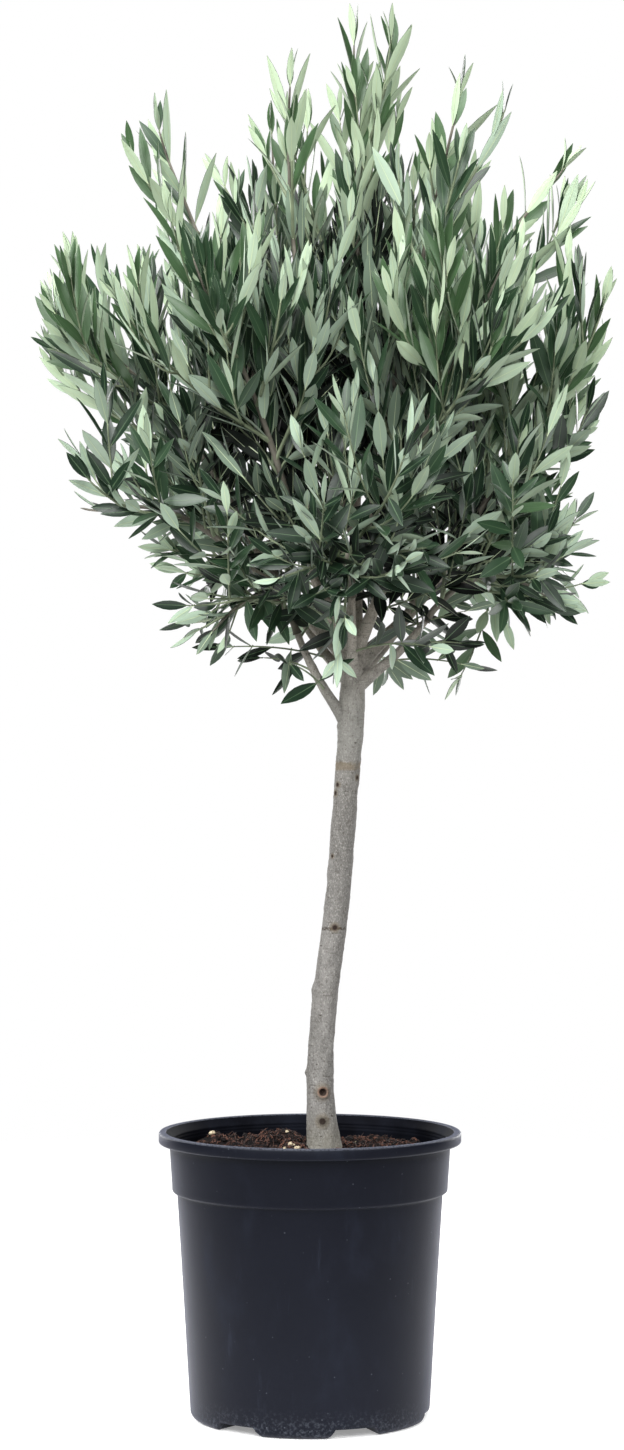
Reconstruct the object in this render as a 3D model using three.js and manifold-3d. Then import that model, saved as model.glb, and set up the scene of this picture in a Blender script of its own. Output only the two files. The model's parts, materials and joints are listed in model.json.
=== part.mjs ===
// A young olive tree grown as a standard: a clear leaning trunk, boughs that fan out
// from its fork, and an open crown of upright leafy shoots, in a black nursery pot.
//
// Millimetres, +Z up, +X to the tree's right, +Y to its back. The origin is the centre
// of the pot's flat underside. Bearings are in degrees, anticlockwise from +X, seen
// from above.

import * as THREE from "three";
import { mergeVertices } from "three/addons/utils/BufferGeometryUtils.js";
import Module from "manifold-3d";

const wasm = await Module();
wasm.setup();

// ---------------------------------------------------------------- driving dimensions

const GAP = 0.3; // between solids that touch in life
const FINEST = 0.02; // edges of the fused foliage that are shorter are closed up
const UP = new THREE.Vector3(0, 0, 1);
const GOLDEN_ANGLE = 137.5;

const POT = {
  rimRadius: 120,
  height: 226,
  lipHeight: 9,
  lipWidth: 6,
  bandTopRadius: 111.2, // the plain band under the lip
  bandFootRadius: 109.2,
  bandFoot: 180, // height of the step under the band
  bodyTopRadius: 105.3,
  bodyFootRadius: 95,
  footRadius: 89, // where the rounded corner meets the floor
  cornerHeight: 6,
  wall: 1.8,
  edge: 2, // the small slopes at the lip and the steps
  floor: 8,
  facets: 36,
};

const NOTCH = {
  count: 6, // drainage notches round the foot
  firstBearing: 232.3,
  height: 5.5,
  footWidth: 42,
  roofWidth: 34,
  innerRadius: 46,
  holeRadius: 6,
  holeReach: 70,
};

const COMPOST = {
  top: 207,
  mound: 3, // how much higher it is round the trunk
  moundRadius: 62,
  clearance: 1.2, // from the pot's wall
  facets: 24,
};

const TRUNK = {
  foot: COMPOST.top + COMPOST.mound + GAP,
  fork: 614,
  // The sway of the axis: height, then how far it stands to the right and to the back.
  sway: [
    [210, 11, 0],
    [262, 8, 1],
    [322, 11, 3],
    [406, 21.5, 4],
    [488, 28, 2],
    [556, 33, 0],
    [614, 34.5, 0],
  ],
  radius: 10.2,
  forkRadius: 9.4,
  flare: 4.6, // how much wider the root flare is at the foot
  flareHeight: 26,
  swelling: 0.9, // where the lowest bough leaves
  swellingHeight: 552,
  swellingLength: 22,
  sides: 12,
  rings: 16,
};

const BOUGH = {
  tipRadius: 2.6,
  outBend: 0.14, // how far a bough bows outwards, as a share of its own reach
  sag: 0.06, // and downwards, as a share of its rise
  sides: 6,
  rings: 5,
};

// The pieces of the crown. Each bough springs from its parent at the height "springs",
// and ends at the distance "reach" from the fork's axis and the height "rise". A mass of
// foliage goes on from there to the tip of its longest shoot, "tipReach" from the same
// axis and "tipRise" high. "tipBearing" turns the tip away from the bough's own bearing.
const LIMBS = [
  {
    name: "leader", parent: "trunk",
    bearing: 60, springs: 612, radius: 7.2, reach: 6, rise: 750,
    tipBearing: 270, tipReach: 8, tipRise: 1124, shoots: 5, shoot: 200, spread: 24,
  },
  {
    name: "upper_left", parent: "leader",
    bearing: 178, springs: 668, radius: 4.6, reach: 56, rise: 764,
    tipBearing: 180, tipReach: 168, tipRise: 1050, shoots: 6, shoot: 150, spread: 30,
  },
  {
    name: "upper_front_left", parent: "leader",
    bearing: 238, springs: 700, radius: 4.3, reach: 44, rise: 772,
    tipBearing: 236, tipReach: 104, tipRise: 1074, shoots: 6, shoot: 150, spread: 32,
  },
  {
    name: "upper_front_right", parent: "leader",
    bearing: 302, springs: 682, radius: 4.4, reach: 48, rise: 768,
    tipBearing: 310, tipReach: 136, tipRise: 1066, shoots: 6, shoot: 150, spread: 32,
  },
  {
    name: "upper_right", parent: "leader",
    bearing: 2, springs: 660, radius: 4.7, reach: 52, rise: 775,
    tipBearing: 4, tipReach: 186, tipRise: 1034, shoots: 6, shoot: 150, spread: 30,
  },
  {
    name: "upper_back_right", parent: "leader",
    bearing: 62, springs: 690, radius: 4.4, reach: 50, rise: 768,
    tipBearing: 58, tipReach: 142, tipRise: 1046, shoots: 6, shoot: 150, spread: 32,
  },
  {
    name: "upper_back_left", parent: "leader",
    bearing: 122, springs: 712, radius: 4.3, reach: 47, rise: 776,
    tipBearing: 126, tipReach: 128, tipRise: 1062, shoots: 6, shoot: 150, spread: 32,
  },
  {
    name: "middle_left", parent: "trunk",
    bearing: 176, springs: 600, radius: 6.4, reach: 86, rise: 704,
    tipBearing: 178, tipReach: 254, tipRise: 908, shoots: 8, shoot: 135, spread: 40,
  },
  {
    name: "middle_front_left", parent: "trunk",
    bearing: 232, springs: 606, radius: 5.6, reach: 78, rise: 712,
    tipBearing: 236, tipReach: 216, tipRise: 900, shoots: 8, shoot: 130, spread: 40,
  },
  {
    name: "middle_front_right", parent: "trunk",
    bearing: 300, springs: 603, radius: 5.6, reach: 75, rise: 710,
    tipBearing: 302, tipReach: 208, tipRise: 908, shoots: 8, shoot: 130, spread: 40,
  },
  {
    name: "middle_right", parent: "trunk",
    bearing: 4, springs: 596, radius: 6.6, reach: 84, rise: 690,
    tipBearing: 2, tipReach: 214, tipRise: 874, shoots: 8, shoot: 130, spread: 40,
  },
  {
    name: "middle_back_right", parent: "trunk",
    bearing: 58, springs: 605, radius: 5.6, reach: 76, rise: 714,
    tipBearing: 58, tipReach: 208, tipRise: 902, shoots: 8, shoot: 130, spread: 40,
  },
  {
    name: "middle_back_left", parent: "trunk",
    bearing: 116, springs: 602, radius: 5.6, reach: 78, rise: 712,
    tipBearing: 118, tipReach: 214, tipRise: 900, shoots: 8, shoot: 130, spread: 40,
  },
  {
    name: "lower_left", parent: "middle_left",
    bearing: 190, springs: 655, radius: 4.0, reach: 88, rise: 676,
    tipBearing: 184, tipReach: 246, tipRise: 744, shoots: 8, shoot: 110, spread: 44,
  },
  {
    name: "lowest_left", parent: "trunk",
    bearing: 196, springs: 548, radius: 4.6, reach: 46, rise: 620,
    tipBearing: 198, tipReach: 172, tipRise: 640, shoots: 8, shoot: 100, spread: 44,
  },
  {
    name: "lower_front", parent: "trunk",
    bearing: 268, springs: 588, radius: 4.8, reach: 58, rise: 648,
    tipBearing: 266, tipReach: 190, tipRise: 684, shoots: 8, shoot: 110, spread: 46,
  },
  {
    name: "lower_right", parent: "trunk",
    bearing: 340, springs: 578, radius: 4.8, reach: 60, rise: 630,
    tipBearing: 348, tipReach: 222, tipRise: 656, shoots: 8, shoot: 110, spread: 46,
  },
  {
    name: "lower_back_right", parent: "trunk",
    bearing: 34, springs: 584, radius: 4.6, reach: 58, rise: 646,
    tipBearing: 32, tipReach: 204, tipRise: 696, shoots: 8, shoot: 105, spread: 46,
  },
  {
    name: "lower_back_left", parent: "trunk",
    bearing: 142, springs: 582, radius: 4.8, reach: 60, rise: 646,
    tipBearing: 136, tipReach: 210, tipRise: 690, shoots: 8, shoot: 110, spread: 46,
  },
];

// The crown's outline: height, how far the foliage reaches there, and how far the middle
// of the crown stands to the right of the pot's axis.
const CROWN = [
  [545, 72, 45],
  [585, 124, 52],
  [605, 156, 46],
  [640, 182, 44],
  [665, 200, 50],
  [700, 192, 38],
  [740, 218, 10],
  [775, 224, 6],
  [870, 238, 11],
  [940, 226, 18],
  [1015, 194, 28],
  [1052, 158, 12],
  [1078, 96, 46],
  [1119, 44, 54],
];

// The two orders of twig in a mass of foliage. No leaves grow on the bare foot.
const STEM = { radius: 2.8, tipRadius: 1, sides: 4, rings: 3, bareFoot: 40 };
const SHOOT = { radius: 1.6, tipRadius: 0.9, sides: 3, rings: 2, bareFoot: 20 };
const STEM_LEAD = 0.45; // share of its length for which a stem holds its bough's heading
const SHOOT_SPAN = [0.1, 0.8]; // of a stem, where its shoots leave it
const SHOOT_LIFT = 0.6; // how much of its stem's rise a shoot bends up by
const SHORTEST_SHOOT = 22; // one that would be shorter is left out
const LIMB_CLEARANCE = 1; // from a twig or a leaf to a limb

// The leaves, each larger than life so that fewer of them fill the crown.
const LEAF = {
  length: 98,
  width: 28,
  thickness: 2,
  angle: 36, // between a blade and its shoot
  tipAngle: 12,
  endShare: 0.66, // size of the leaf that ends a shoot
  nodeSpacing: 34, // between pairs along a shoot
  stagger: 3, // between the two roots of a pair, along the shoot
  tipClear: 12, // from the last pair to the shoot's tip
  endAt: 0.985, // share of the shoot where the leaf that ends it has its root
  sink: 0.3, // how far past the twig's axis a leaf's root reaches
};

const FIRST_SEED = 401; // of the first mass; each later one adds one

// How a leaf is tried until it fits: the turn round its shoot, its size, and the angle
// to the shoot as a share of the full one.
const TRIES = [
  [0, 1, 1],
  [40, 0.9, 1],
  [-40, 0.9, 1],
  [0, 0.8, 0.6],
  [80, 0.8, 0.9],
  [-80, 0.8, 0.9],
  [30, 0.66, 0.5],
  [-30, 0.66, 0.5],
];

// ---------------------------------------------------------------- small helpers

const radians = THREE.MathUtils.degToRad;
const lerp = THREE.MathUtils.lerp;

// Seeded random numbers from 0 to 1 (the mulberry32 generator).
function seeded(seed) {
  let state = seed >>> 0;
  return () => {
    state = (state + 0x6d2b79f5) >>> 0;
    let t = state;
    t = Math.imul(t ^ (t >>> 15), t | 1);
    t ^= t + Math.imul(t ^ (t >>> 7), t | 61);
    return ((t ^ (t >>> 14)) >>> 0) / 4294967296;
  };
}

// A three.js geometry as a manifold-3d solid, with its shared vertices merged.
function solidOf(geometry) {
  const bare = new THREE.BufferGeometry();
  bare.setAttribute("position", geometry.getAttribute("position"));
  bare.setIndex(geometry.index);
  const merged = mergeVertices(bare, 1e-4);
  return new wasm.Manifold(
    new wasm.Mesh({
      numProp: 3,
      vertProperties: merged.attributes.position.array,
      triVerts: new Uint32Array(merged.index.array),
    }),
  );
}

// A manifold-3d solid as a three.js geometry.
function geometryOf(solid) {
  const mesh = solid.getMesh();
  const geometry = new THREE.BufferGeometry();
  geometry.setAttribute("position", new THREE.BufferAttribute(mesh.vertProperties, 3));
  geometry.setIndex(new THREE.BufferAttribute(mesh.triVerts, 1));
  geometry.computeVertexNormals();
  return geometry;
}

// The body of a cut solid that reaches nearest to a point.
function bodyNearest(solid, point) {
  const distance = (body) => {
    const { vertProperties: v, numProp } = body.getMesh();
    let best = Infinity;
    for (let i = 0; i < v.length; i += numProp)
      best = Math.min(best, point.distanceTo(new THREE.Vector3(v[i], v[i + 1], v[i + 2])));
    return best;
  };
  return solid.decompose().sort((a, b) => distance(a) - distance(b))[0];
}

// The largest body of a solid: a loose scrap is dropped.
const largestBody = (solid) => solid.decompose().sort((a, b) => b.volume() - a.volume())[0];

// A round tapering limb along a curve: a cylinder's rings carried to the curve's frames.
function limbGeometry(curve, radiusAt, sides, rings) {
  const geometry = new THREE.CylinderGeometry(1, 1, 1, sides, rings);
  const frames = curve.computeFrenetFrames(rings);
  const position = geometry.getAttribute("position");
  for (let i = 0; i < position.count; i++) {
    const ring = Math.round((position.getY(i) + 0.5) * rings);
    const t = ring / rings;
    const radius = radiusAt(t);
    const point = curve
      .getPointAt(t)
      .addScaledVector(frames.binormals[ring], position.getX(i) * radius)
      .addScaledVector(frames.normals[ring], position.getZ(i) * radius);
    position.setXYZ(i, point.x, point.y, point.z);
  }
  return geometry;
}

// A point at a bearing and a distance from the fork's axis, at a height.
function aroundFork(bearing, reach, height) {
  const [, forkX, forkY] = TRUNK.sway.at(-1);
  const angle = radians(bearing);
  return new THREE.Vector3(
    forkX + reach * Math.cos(angle),
    forkY + reach * Math.sin(angle),
    height,
  );
}

// ---------------------------------------------------------------- pot and compost

// Half of the pot's section, from the axis under the floor, out and up the wall, over
// the lip, down the inside and back to the axis.
function potSection() {
  const lipFoot = POT.height - POT.lipHeight;
  const innerLip = POT.rimRadius - POT.lipWidth;
  return [
    [0, 0],
    [POT.footRadius, 0],
    [POT.bodyFootRadius - POT.edge, POT.cornerHeight - 2 * POT.edge],
    [POT.bodyFootRadius, POT.cornerHeight],
    [POT.bodyTopRadius, POT.bandFoot - 2 * POT.edge],
    [POT.bandFootRadius, POT.bandFoot],
    [POT.bandTopRadius, lipFoot],
    [POT.rimRadius - POT.edge / 2, lipFoot],
    [POT.rimRadius, lipFoot + POT.edge],
    [POT.rimRadius, POT.height - POT.edge],
    [POT.rimRadius - POT.edge, POT.height],
    [innerLip, POT.height],
    [POT.bandTopRadius - POT.wall, lipFoot - POT.edge],
    [POT.bandFootRadius - POT.wall, POT.bandFoot + POT.edge],
    [POT.bodyTopRadius - POT.wall, POT.bandFoot - POT.edge],
    [POT.bodyFootRadius - POT.wall, POT.floor],
    [0, POT.floor],
  ].map(([radius, height]) => new THREE.Vector2(radius, height));
}

// A lathe turns about Y, so it is stood up to turn about Z.
const latheAboutZ = (section, facets) => new THREE.LatheGeometry(section, facets).rotateX(Math.PI / 2);

// A notch runs in from the wall under the floor, and a drain hole opens in its roof.
function notchCutters() {
  const half = NOTCH.footWidth / 2;
  const roof = NOTCH.roofWidth / 2;
  const outline = new THREE.Shape([
    new THREE.Vector2(-half, -1),
    new THREE.Vector2(half, -1),
    new THREE.Vector2(roof, NOTCH.height),
    new THREE.Vector2(-roof, NOTCH.height),
  ]);
  const length = POT.rimRadius - NOTCH.innerRadius;
  return Array.from({ length: NOTCH.count }, (_, i) => {
    const bearing = radians(NOTCH.firstBearing + (i * 360) / NOTCH.count);
    const channel = new THREE.ExtrudeGeometry(outline, { depth: length, bevelEnabled: false })
      .rotateX(Math.PI / 2)
      .translate(0, POT.rimRadius, 0)
      .rotateZ(bearing - Math.PI / 2);
    const hole = new THREE.CylinderGeometry(NOTCH.holeRadius, NOTCH.holeRadius, 3 * POT.floor, 8)
      .rotateX(Math.PI / 2)
      .translate(0, NOTCH.holeReach, 0)
      .rotateZ(bearing - Math.PI / 2);
    return solidOf(channel).add(solidOf(hole));
  });
}

function potSolid() {
  return notchCutters().reduce(
    (pot, cutter) => pot.subtract(cutter),
    solidOf(latheAboutZ(potSection(), POT.facets)),
  );
}

// The compost fills the pot, a little clear of it, and rises gently to the trunk.
function compostSolid() {
  const clear = POT.wall + COMPOST.clearance;
  const brim = POT.bandFootRadius - clear;
  const section = [
    [0, POT.floor + GAP],
    [POT.bodyFootRadius - clear, POT.floor + GAP],
    [POT.bodyTopRadius - clear - GAP, POT.bandFoot - POT.edge],
    [brim, POT.bandFoot + 3 * POT.edge],
    [brim, COMPOST.top],
    [COMPOST.moundRadius, COMPOST.top + COMPOST.mound],
    [0, COMPOST.top + COMPOST.mound],
  ].map(([radius, height]) => new THREE.Vector2(radius, height));
  return solidOf(latheAboutZ(section, COMPOST.facets));
}

// ---------------------------------------------------------------- trunk and boughs

const trunkCurve = new THREE.CatmullRomCurve3([
  new THREE.Vector3(TRUNK.sway[0][1], TRUNK.sway[0][2], TRUNK.foot),
  ...TRUNK.sway.slice(1).map(([height, right, back]) => new THREE.Vector3(right, back, height)),
]);

// The trunk tapers gently, widens into its root flare, and swells at the lowest bough.
function trunkRadius(t, more = 0) {
  const height = trunkCurve.getPointAt(t).z;
  const flare = TRUNK.flare * Math.exp(-(height - TRUNK.foot) / TRUNK.flareHeight);
  const off = (height - TRUNK.swellingHeight) / TRUNK.swellingLength;
  return lerp(TRUNK.radius, TRUNK.forkRadius, t) + flare + TRUNK.swelling * Math.exp(-off * off) + more;
}

// The trunk's foot and top are cut level.
function trunkSolid(more = 0) {
  const geometry = limbGeometry(trunkCurve, (t) => trunkRadius(t, more), TRUNK.sides, TRUNK.rings);
  const position = geometry.getAttribute("position");
  const nearEnd = 4;
  for (let i = 0; i < position.count; i++) {
    if (position.getZ(i) < TRUNK.foot + nearEnd) position.setZ(i, TRUNK.foot);
    if (position.getZ(i) > TRUNK.fork - nearEnd) position.setZ(i, TRUNK.fork + more);
  }
  return solidOf(geometry);
}

// The point of a curve at a height.
function atHeight(curve, height) {
  const steps = 200;
  const points = curve.getSpacedPoints(steps);
  const off = (point) => Math.abs(point.z - height);
  return points.reduce((best, point) => (off(point) < off(best) ? point : best));
}

const curves = { trunk: trunkCurve };

// A bough leaves its parent outwards and bends up towards its tip.
function boughCurve(limb) {
  const foot = atHeight(curves[limb.parent], limb.springs);
  const tip = aroundFork(limb.bearing, limb.reach, limb.rise);
  const bend = foot.clone().lerp(tip, 0.5);
  const outward = new THREE.Vector3(tip.x - foot.x, tip.y - foot.y, 0);
  bend.addScaledVector(outward, BOUGH.outBend).addScaledVector(UP, -BOUGH.sag * (tip.z - foot.z));
  return new THREE.QuadraticBezierCurve3(foot, bend, tip);
}

const boughRadius = (limb, more = 0) => (t) => lerp(limb.radius, BOUGH.tipRadius, t) + more;

// Each bough is cut back from the trunk and the boughs before it, a gap clear of them.
function growBoughs() {
  const cutters = [trunkSolid(GAP)];
  return LIMBS.map((limb) => {
    const curve = boughCurve(limb);
    curves[limb.name] = curve;
    const make = (more) => solidOf(limbGeometry(curve, boughRadius(limb, more), BOUGH.sides, BOUGH.rings));
    const whole = cutters.reduce((bough, cutter) => bough.subtract(cutter), make(0));
    cutters.push(make(GAP));
    return { limb, curve, solid: bodyNearest(whole, curve.getPoint(1)) };
  });
}

// ---------------------------------------------------------------- foliage

// The stem of a mass goes on from its bough's tip to the tip of its longest shoot.
function stemCurve(limb, bough) {
  const heading = bough.getTangent(1);
  const start = bough.getPoint(1).addScaledVector(heading, GAP);
  const reach = aroundFork(limb.tipBearing, limb.tipReach, limb.tipRise);
  const length = start.distanceTo(reach);
  const tip = start.clone().lerp(reach, 1 - (LEAF.length * LEAF.endShare) / length);
  const bend = start.clone().addScaledVector(heading, STEM_LEAD * length);
  return new THREE.QuadraticBezierCurve3(start, bend, tip);
}

// Whether a point lies within the crown's outline.
function insideCrown({ x, y, z }) {
  const above = CROWN.findIndex(([height]) => height >= z);
  if (above < 1) return false;
  const [low, lowReach, lowShift] = CROWN[above - 1];
  const [high, highReach, highShift] = CROWN[above];
  const share = (z - low) / (high - low);
  return Math.hypot(x - lerp(lowShift, highShift, share), y) < lerp(lowReach, highReach, share);
}

const heartOf = (stem) => stem.getPoint(0.5);

// Where a mass keeps to: nearer to its own heart than to any other's, and clear of limbs.
function spaceOf(heart, hearts, limbs) {
  const others = hearts.filter((other) => other !== heart);
  const inside = (point, radius = 0) =>
    insideCrown(point) &&
    others.every((other) => {
      const apart = heart.distanceTo(other);
      const nearer = point.distanceToSquared(other) - point.distanceToSquared(heart);
      return nearer / (2 * apart) > radius + GAP;
    });
  const clearOfLimbs = (point, radius) =>
    limbs.every(({ at, radius: limb }) => point.distanceTo(at) > limb + radius + LIMB_CLEARANCE);
  return { inside, clearOfLimbs };
}

// Two directions square to a heading.
function across(heading) {
  const level = new THREE.Vector3().crossVectors(heading, UP);
  if (level.length() < 0.05) level.set(1, 0, 0);
  level.normalize();
  return [level, new THREE.Vector3().crossVectors(level, heading).normalize()];
}

// A direction that leans away from a heading by an angle, at a turn round it.
function leaning(heading, angle, turn) {
  const [a, b] = across(heading);
  return heading
    .clone()
    .multiplyScalar(Math.cos(radians(angle)))
    .addScaledVector(a, Math.sin(radians(angle)) * Math.cos(radians(turn)))
    .addScaledVector(b, Math.sin(radians(angle)) * Math.sin(radians(turn)));
}

// A shoot leaves its stem at an angle, and bends up as far as the stem itself rises.
function shootCurve(stem, t, limb, turn, length) {
  const start = stem.getPoint(t);
  const heading = stem.getTangent(t);
  const out = leaning(heading, limb.spread, turn);
  const end = out.clone().addScaledVector(UP, SHOOT_LIFT * heading.z).normalize();
  const bend = start.clone().addScaledVector(out, length / 2);
  return new THREE.QuadraticBezierCurve3(start, bend, bend.clone().addScaledVector(end, length / 2));
}

// The first stretch of a curve that stays in its space, with room for a small leaf to end
// it, or null if it is too short.
function stretchInside(curve, space, radius) {
  const steps = 24;
  const points = curve.getSpacedPoints(steps);
  const endLeaf = LEAF.length * LEAF.endShare * TRIES.at(-1)[1];
  const stops = (point, i) =>
    !space.inside(point, radius) ||
    !space.inside(point.clone().addScaledVector(curve.getTangentAt(i / steps), endLeaf)) ||
    (i > 2 && !space.clearOfLimbs(point, radius));
  const end = points.findIndex(stops);
  if (end < 0) return curve;
  const kept = points.slice(0, Math.max(0, end - 1));
  if (kept.length < 3 || kept[0].distanceTo(kept.at(-1)) < SHORTEST_SHOOT) return null;
  return new THREE.CatmullRomCurve3(kept);
}

// A thin blade folded along its midrib: a tetrahedron drawn out flat, with one edge from
// the root to the tip and the opposite edge from side to side.
function leafGeometry({ root, along, wide, length, width }) {
  const facing = new THREE.Vector3().crossVectors(along, wide);
  const geometry = new THREE.TetrahedronGeometry(Math.sqrt(1.5)).rotateZ(Math.PI / 4);
  geometry.scale(length / 2, width / 2, LEAF.thickness / Math.SQRT2);
  geometry.translate(length / 2, 0, LEAF.thickness / 2);
  return geometry.applyMatrix4(new THREE.Matrix4().makeBasis(along, wide, facing).setPosition(root));
}

// Whether a leaf keeps to its space with every corner, and clears the limbs.
function leafFits({ root, along, length, width }, geometry, space) {
  const position = geometry.getAttribute("position");
  for (let i = 0; i < position.count; i++)
    if (!space.inside(new THREE.Vector3().fromBufferAttribute(position, i))) return false;
  const samples = 9;
  for (let i = 1; i <= samples; i++) {
    const t = i / samples;
    const point = root.clone().addScaledVector(along, t * length);
    const half = (width / 2) * (1 - Math.abs(2 * t - 1));
    if (!space.clearOfLimbs(point, half)) return false;
  }
  return true;
}

// Whether a solid cuts into any of the others.
function crosses(solid, others) {
  const { min, max } = solid.boundingBox();
  const near = others.filter((other) => {
    const box = other.boundingBox();
    return [0, 1, 2].every((i) => box.min[i] < max[i] && box.max[i] > min[i]);
  });
  return near.some((other) => !solid.intersect(other).isEmpty());
}

// The middle of a twig's wood at a share of its length: it runs straight from ring to ring.
function axisAt({ curve, rings }, t) {
  const ring = Math.min(rings - 1, Math.floor(t * rings));
  return curve.getPointAt(ring / rings).lerp(curve.getPointAt((ring + 1) / rings), t * rings - ring);
}

// Opposite pairs of leaves along a twig, each pair a quarter turn from the last, and one
// leaf that ends it.
function leavesOn(twig, space, others, random) {
  const { curve, bareFoot } = twig;
  const total = curve.getLength();
  const leaves = [];
  const place = (t, angle, turn, share) => {
    const heading = curve.getTangentAt(t);
    for (const [shift, scale, closed] of TRIES) {
      const along = leaning(heading, angle * closed, turn + shift);
      const wide = new THREE.Vector3().crossVectors(heading, along).normalize();
      const root = axisAt(twig, t).addScaledVector(along, -LEAF.sink);
      const size = share * scale;
      const leaf = { root, along, wide, length: LEAF.length * size, width: LEAF.width * size };
      const geometry = leafGeometry(leaf);
      if (!leafFits(leaf, geometry, space)) continue;
      const solid = solidOf(geometry);
      if (crosses(solid, [...others, ...leaves])) continue;
      leaves.push(solid);
      return;
    }
  };
  const firstTurn = 360 * random();
  const pairs = Math.max(1, Math.floor((total - bareFoot - LEAF.tipClear) / LEAF.nodeSpacing) + 1);
  for (let i = 0; i < pairs; i++) {
    const t = 1 - (LEAF.tipClear + i * LEAF.nodeSpacing) / total;
    const turn = firstTurn + 90 * i;
    const share = 0.86 + 0.28 * random();
    const angle = LEAF.angle + 10 * (random() - 0.5);
    place(t, angle, turn, share);
    place(t - LEAF.stagger / total, angle, turn + 180, share * (0.9 + 0.15 * random()));
  }
  place(LEAF.endAt, LEAF.tipAngle * random(), firstTurn + 45, LEAF.endShare);
  return leaves;
}

// The stem and the shoots of one mass, each a curve with its form.
function twigsOf(limb, stem, space, random) {
  const twigs = [{ curve: stem, ...STEM }];
  for (let i = 0; i < limb.shoots; i++) {
    const t = lerp(...SHOOT_SPAN, (i + 0.5) / limb.shoots);
    const turn = GOLDEN_ANGLE * i + 40 * random();
    const length = limb.shoot * (1.1 - 0.55 * t) * (0.8 + 0.4 * random());
    const whole = shootCurve(stem, t, limb, turn, length);
    const curve = stretchInside(whole, space, SHOOT.radius);
    if (curve) twigs.push({ curve, ...SHOOT });
  }
  return twigs;
}

function foliageSolid(limb, stem, space, seed) {
  const random = seeded(seed);
  const twigs = twigsOf(limb, stem, space, random);
  const wood = twigs.map(({ curve, radius, tipRadius, sides, rings }) =>
    solidOf(limbGeometry(curve, (t) => lerp(radius, tipRadius, t), sides, rings)),
  );
  const leaves = [];
  twigs.forEach((twig, i) => {
    const others = [...wood.filter((_, j) => j !== i), ...leaves];
    leaves.push(...leavesOn(twig, space, others, random));
  });
  return largestBody(wasm.Manifold.union([...wood, ...leaves]).simplify(FINEST));
}

// Points along the trunk and the boughs, each with the limb's radius there.
function samplesOf(curve, radiusAt) {
  const steps = 60;
  return curve.getSpacedPoints(steps).map((at, i) => ({ at, radius: radiusAt(i / steps) }));
}

// ---------------------------------------------------------------- assembly

const FINISH = {
  pot: { color: 0x23252c, roughness: 0.55, metalness: 0 },
  compost: { color: 0x2a1a14, roughness: 0.95, metalness: 0 },
  bark: { color: 0x9a938a, roughness: 0.85, metalness: 0 },
  foliage: { color: 0x5d7a62, roughness: 0.6, metalness: 0 },
};

const plant = new THREE.Group();

function addNode(name, solid, finish) {
  const mesh = new THREE.Mesh(geometryOf(solid), new THREE.MeshStandardMaterial(FINISH[finish]));
  mesh.name = name;
  plant.add(mesh);
}

addNode("pot", potSolid(), "pot");
addNode("compost", compostSolid(), "compost");
addNode("trunk", trunkSolid(), "bark");

const boughs = growBoughs();
for (const { limb, solid } of boughs) addNode(`bough_${limb.name}`, solid, "bark");

const stems = boughs.map(({ limb, curve }) => stemCurve(limb, curve));
const hearts = stems.map(heartOf);
const limbSamples = [
  ...samplesOf(trunkCurve, trunkRadius),
  ...boughs.flatMap(({ limb, curve }) => samplesOf(curve, boughRadius(limb))),
];
const stemSamples = stems.map((stem) => samplesOf(stem, (t) => lerp(STEM.radius, STEM.tipRadius, t)));

boughs.forEach(({ limb }, i) => {
  const limbs = [...limbSamples, ...stemSamples.filter((_, j) => j !== i).flat()];
  const space = spaceOf(hearts[i], hearts, limbs);
  addNode(`foliage_${limb.name}`, foliageSolid(limb, stems[i], space, FIRST_SEED + i), "foliage");
});

export default plant;
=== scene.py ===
import json
import math
from collections import namedtuple
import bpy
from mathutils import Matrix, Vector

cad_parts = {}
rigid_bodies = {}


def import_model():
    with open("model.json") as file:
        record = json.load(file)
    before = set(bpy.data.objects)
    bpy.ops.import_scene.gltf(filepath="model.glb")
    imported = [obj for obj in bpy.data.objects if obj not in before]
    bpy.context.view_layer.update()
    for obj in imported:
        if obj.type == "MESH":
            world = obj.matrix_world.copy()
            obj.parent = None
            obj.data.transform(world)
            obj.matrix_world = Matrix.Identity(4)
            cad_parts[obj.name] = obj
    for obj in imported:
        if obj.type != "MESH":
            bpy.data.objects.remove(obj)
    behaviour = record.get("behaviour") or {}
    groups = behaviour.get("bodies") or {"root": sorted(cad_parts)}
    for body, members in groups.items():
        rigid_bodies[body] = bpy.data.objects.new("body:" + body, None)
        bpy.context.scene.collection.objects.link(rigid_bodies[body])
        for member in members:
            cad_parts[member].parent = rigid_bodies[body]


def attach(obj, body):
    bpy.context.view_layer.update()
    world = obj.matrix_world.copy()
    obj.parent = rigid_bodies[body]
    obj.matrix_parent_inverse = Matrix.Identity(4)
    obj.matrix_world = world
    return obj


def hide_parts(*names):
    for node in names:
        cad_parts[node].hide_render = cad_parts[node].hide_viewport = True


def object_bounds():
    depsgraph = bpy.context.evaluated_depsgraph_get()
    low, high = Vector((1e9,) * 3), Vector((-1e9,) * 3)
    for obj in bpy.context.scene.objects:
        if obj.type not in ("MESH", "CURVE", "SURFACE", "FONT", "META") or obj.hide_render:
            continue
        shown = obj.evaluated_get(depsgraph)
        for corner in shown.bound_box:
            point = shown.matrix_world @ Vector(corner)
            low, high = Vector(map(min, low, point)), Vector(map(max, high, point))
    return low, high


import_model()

from types import SimpleNamespace as Sizes

import bpy
import numpy as np

# A young olive tree grown as a standard, in a round black nursery pot.
#
# The shapes are worked out in millimetres, +Z up, +X to the tree's right and +Y to its
# back, and are scaled to metres as each piece is made. Bearings are in degrees,
# anticlockwise from +X, seen from above.

CAD_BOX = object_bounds()
MM = 0.001
UP = np.array([0.0, 0.0, 1.0])
GOLDEN_ANGLE = 137.5
TURN_CHANCE = 40  # degrees of chance in each such turn
TAU = 2 * math.pi

# ---- sizes of the solids

GAP = 0.3  # between one solid and the next

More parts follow.
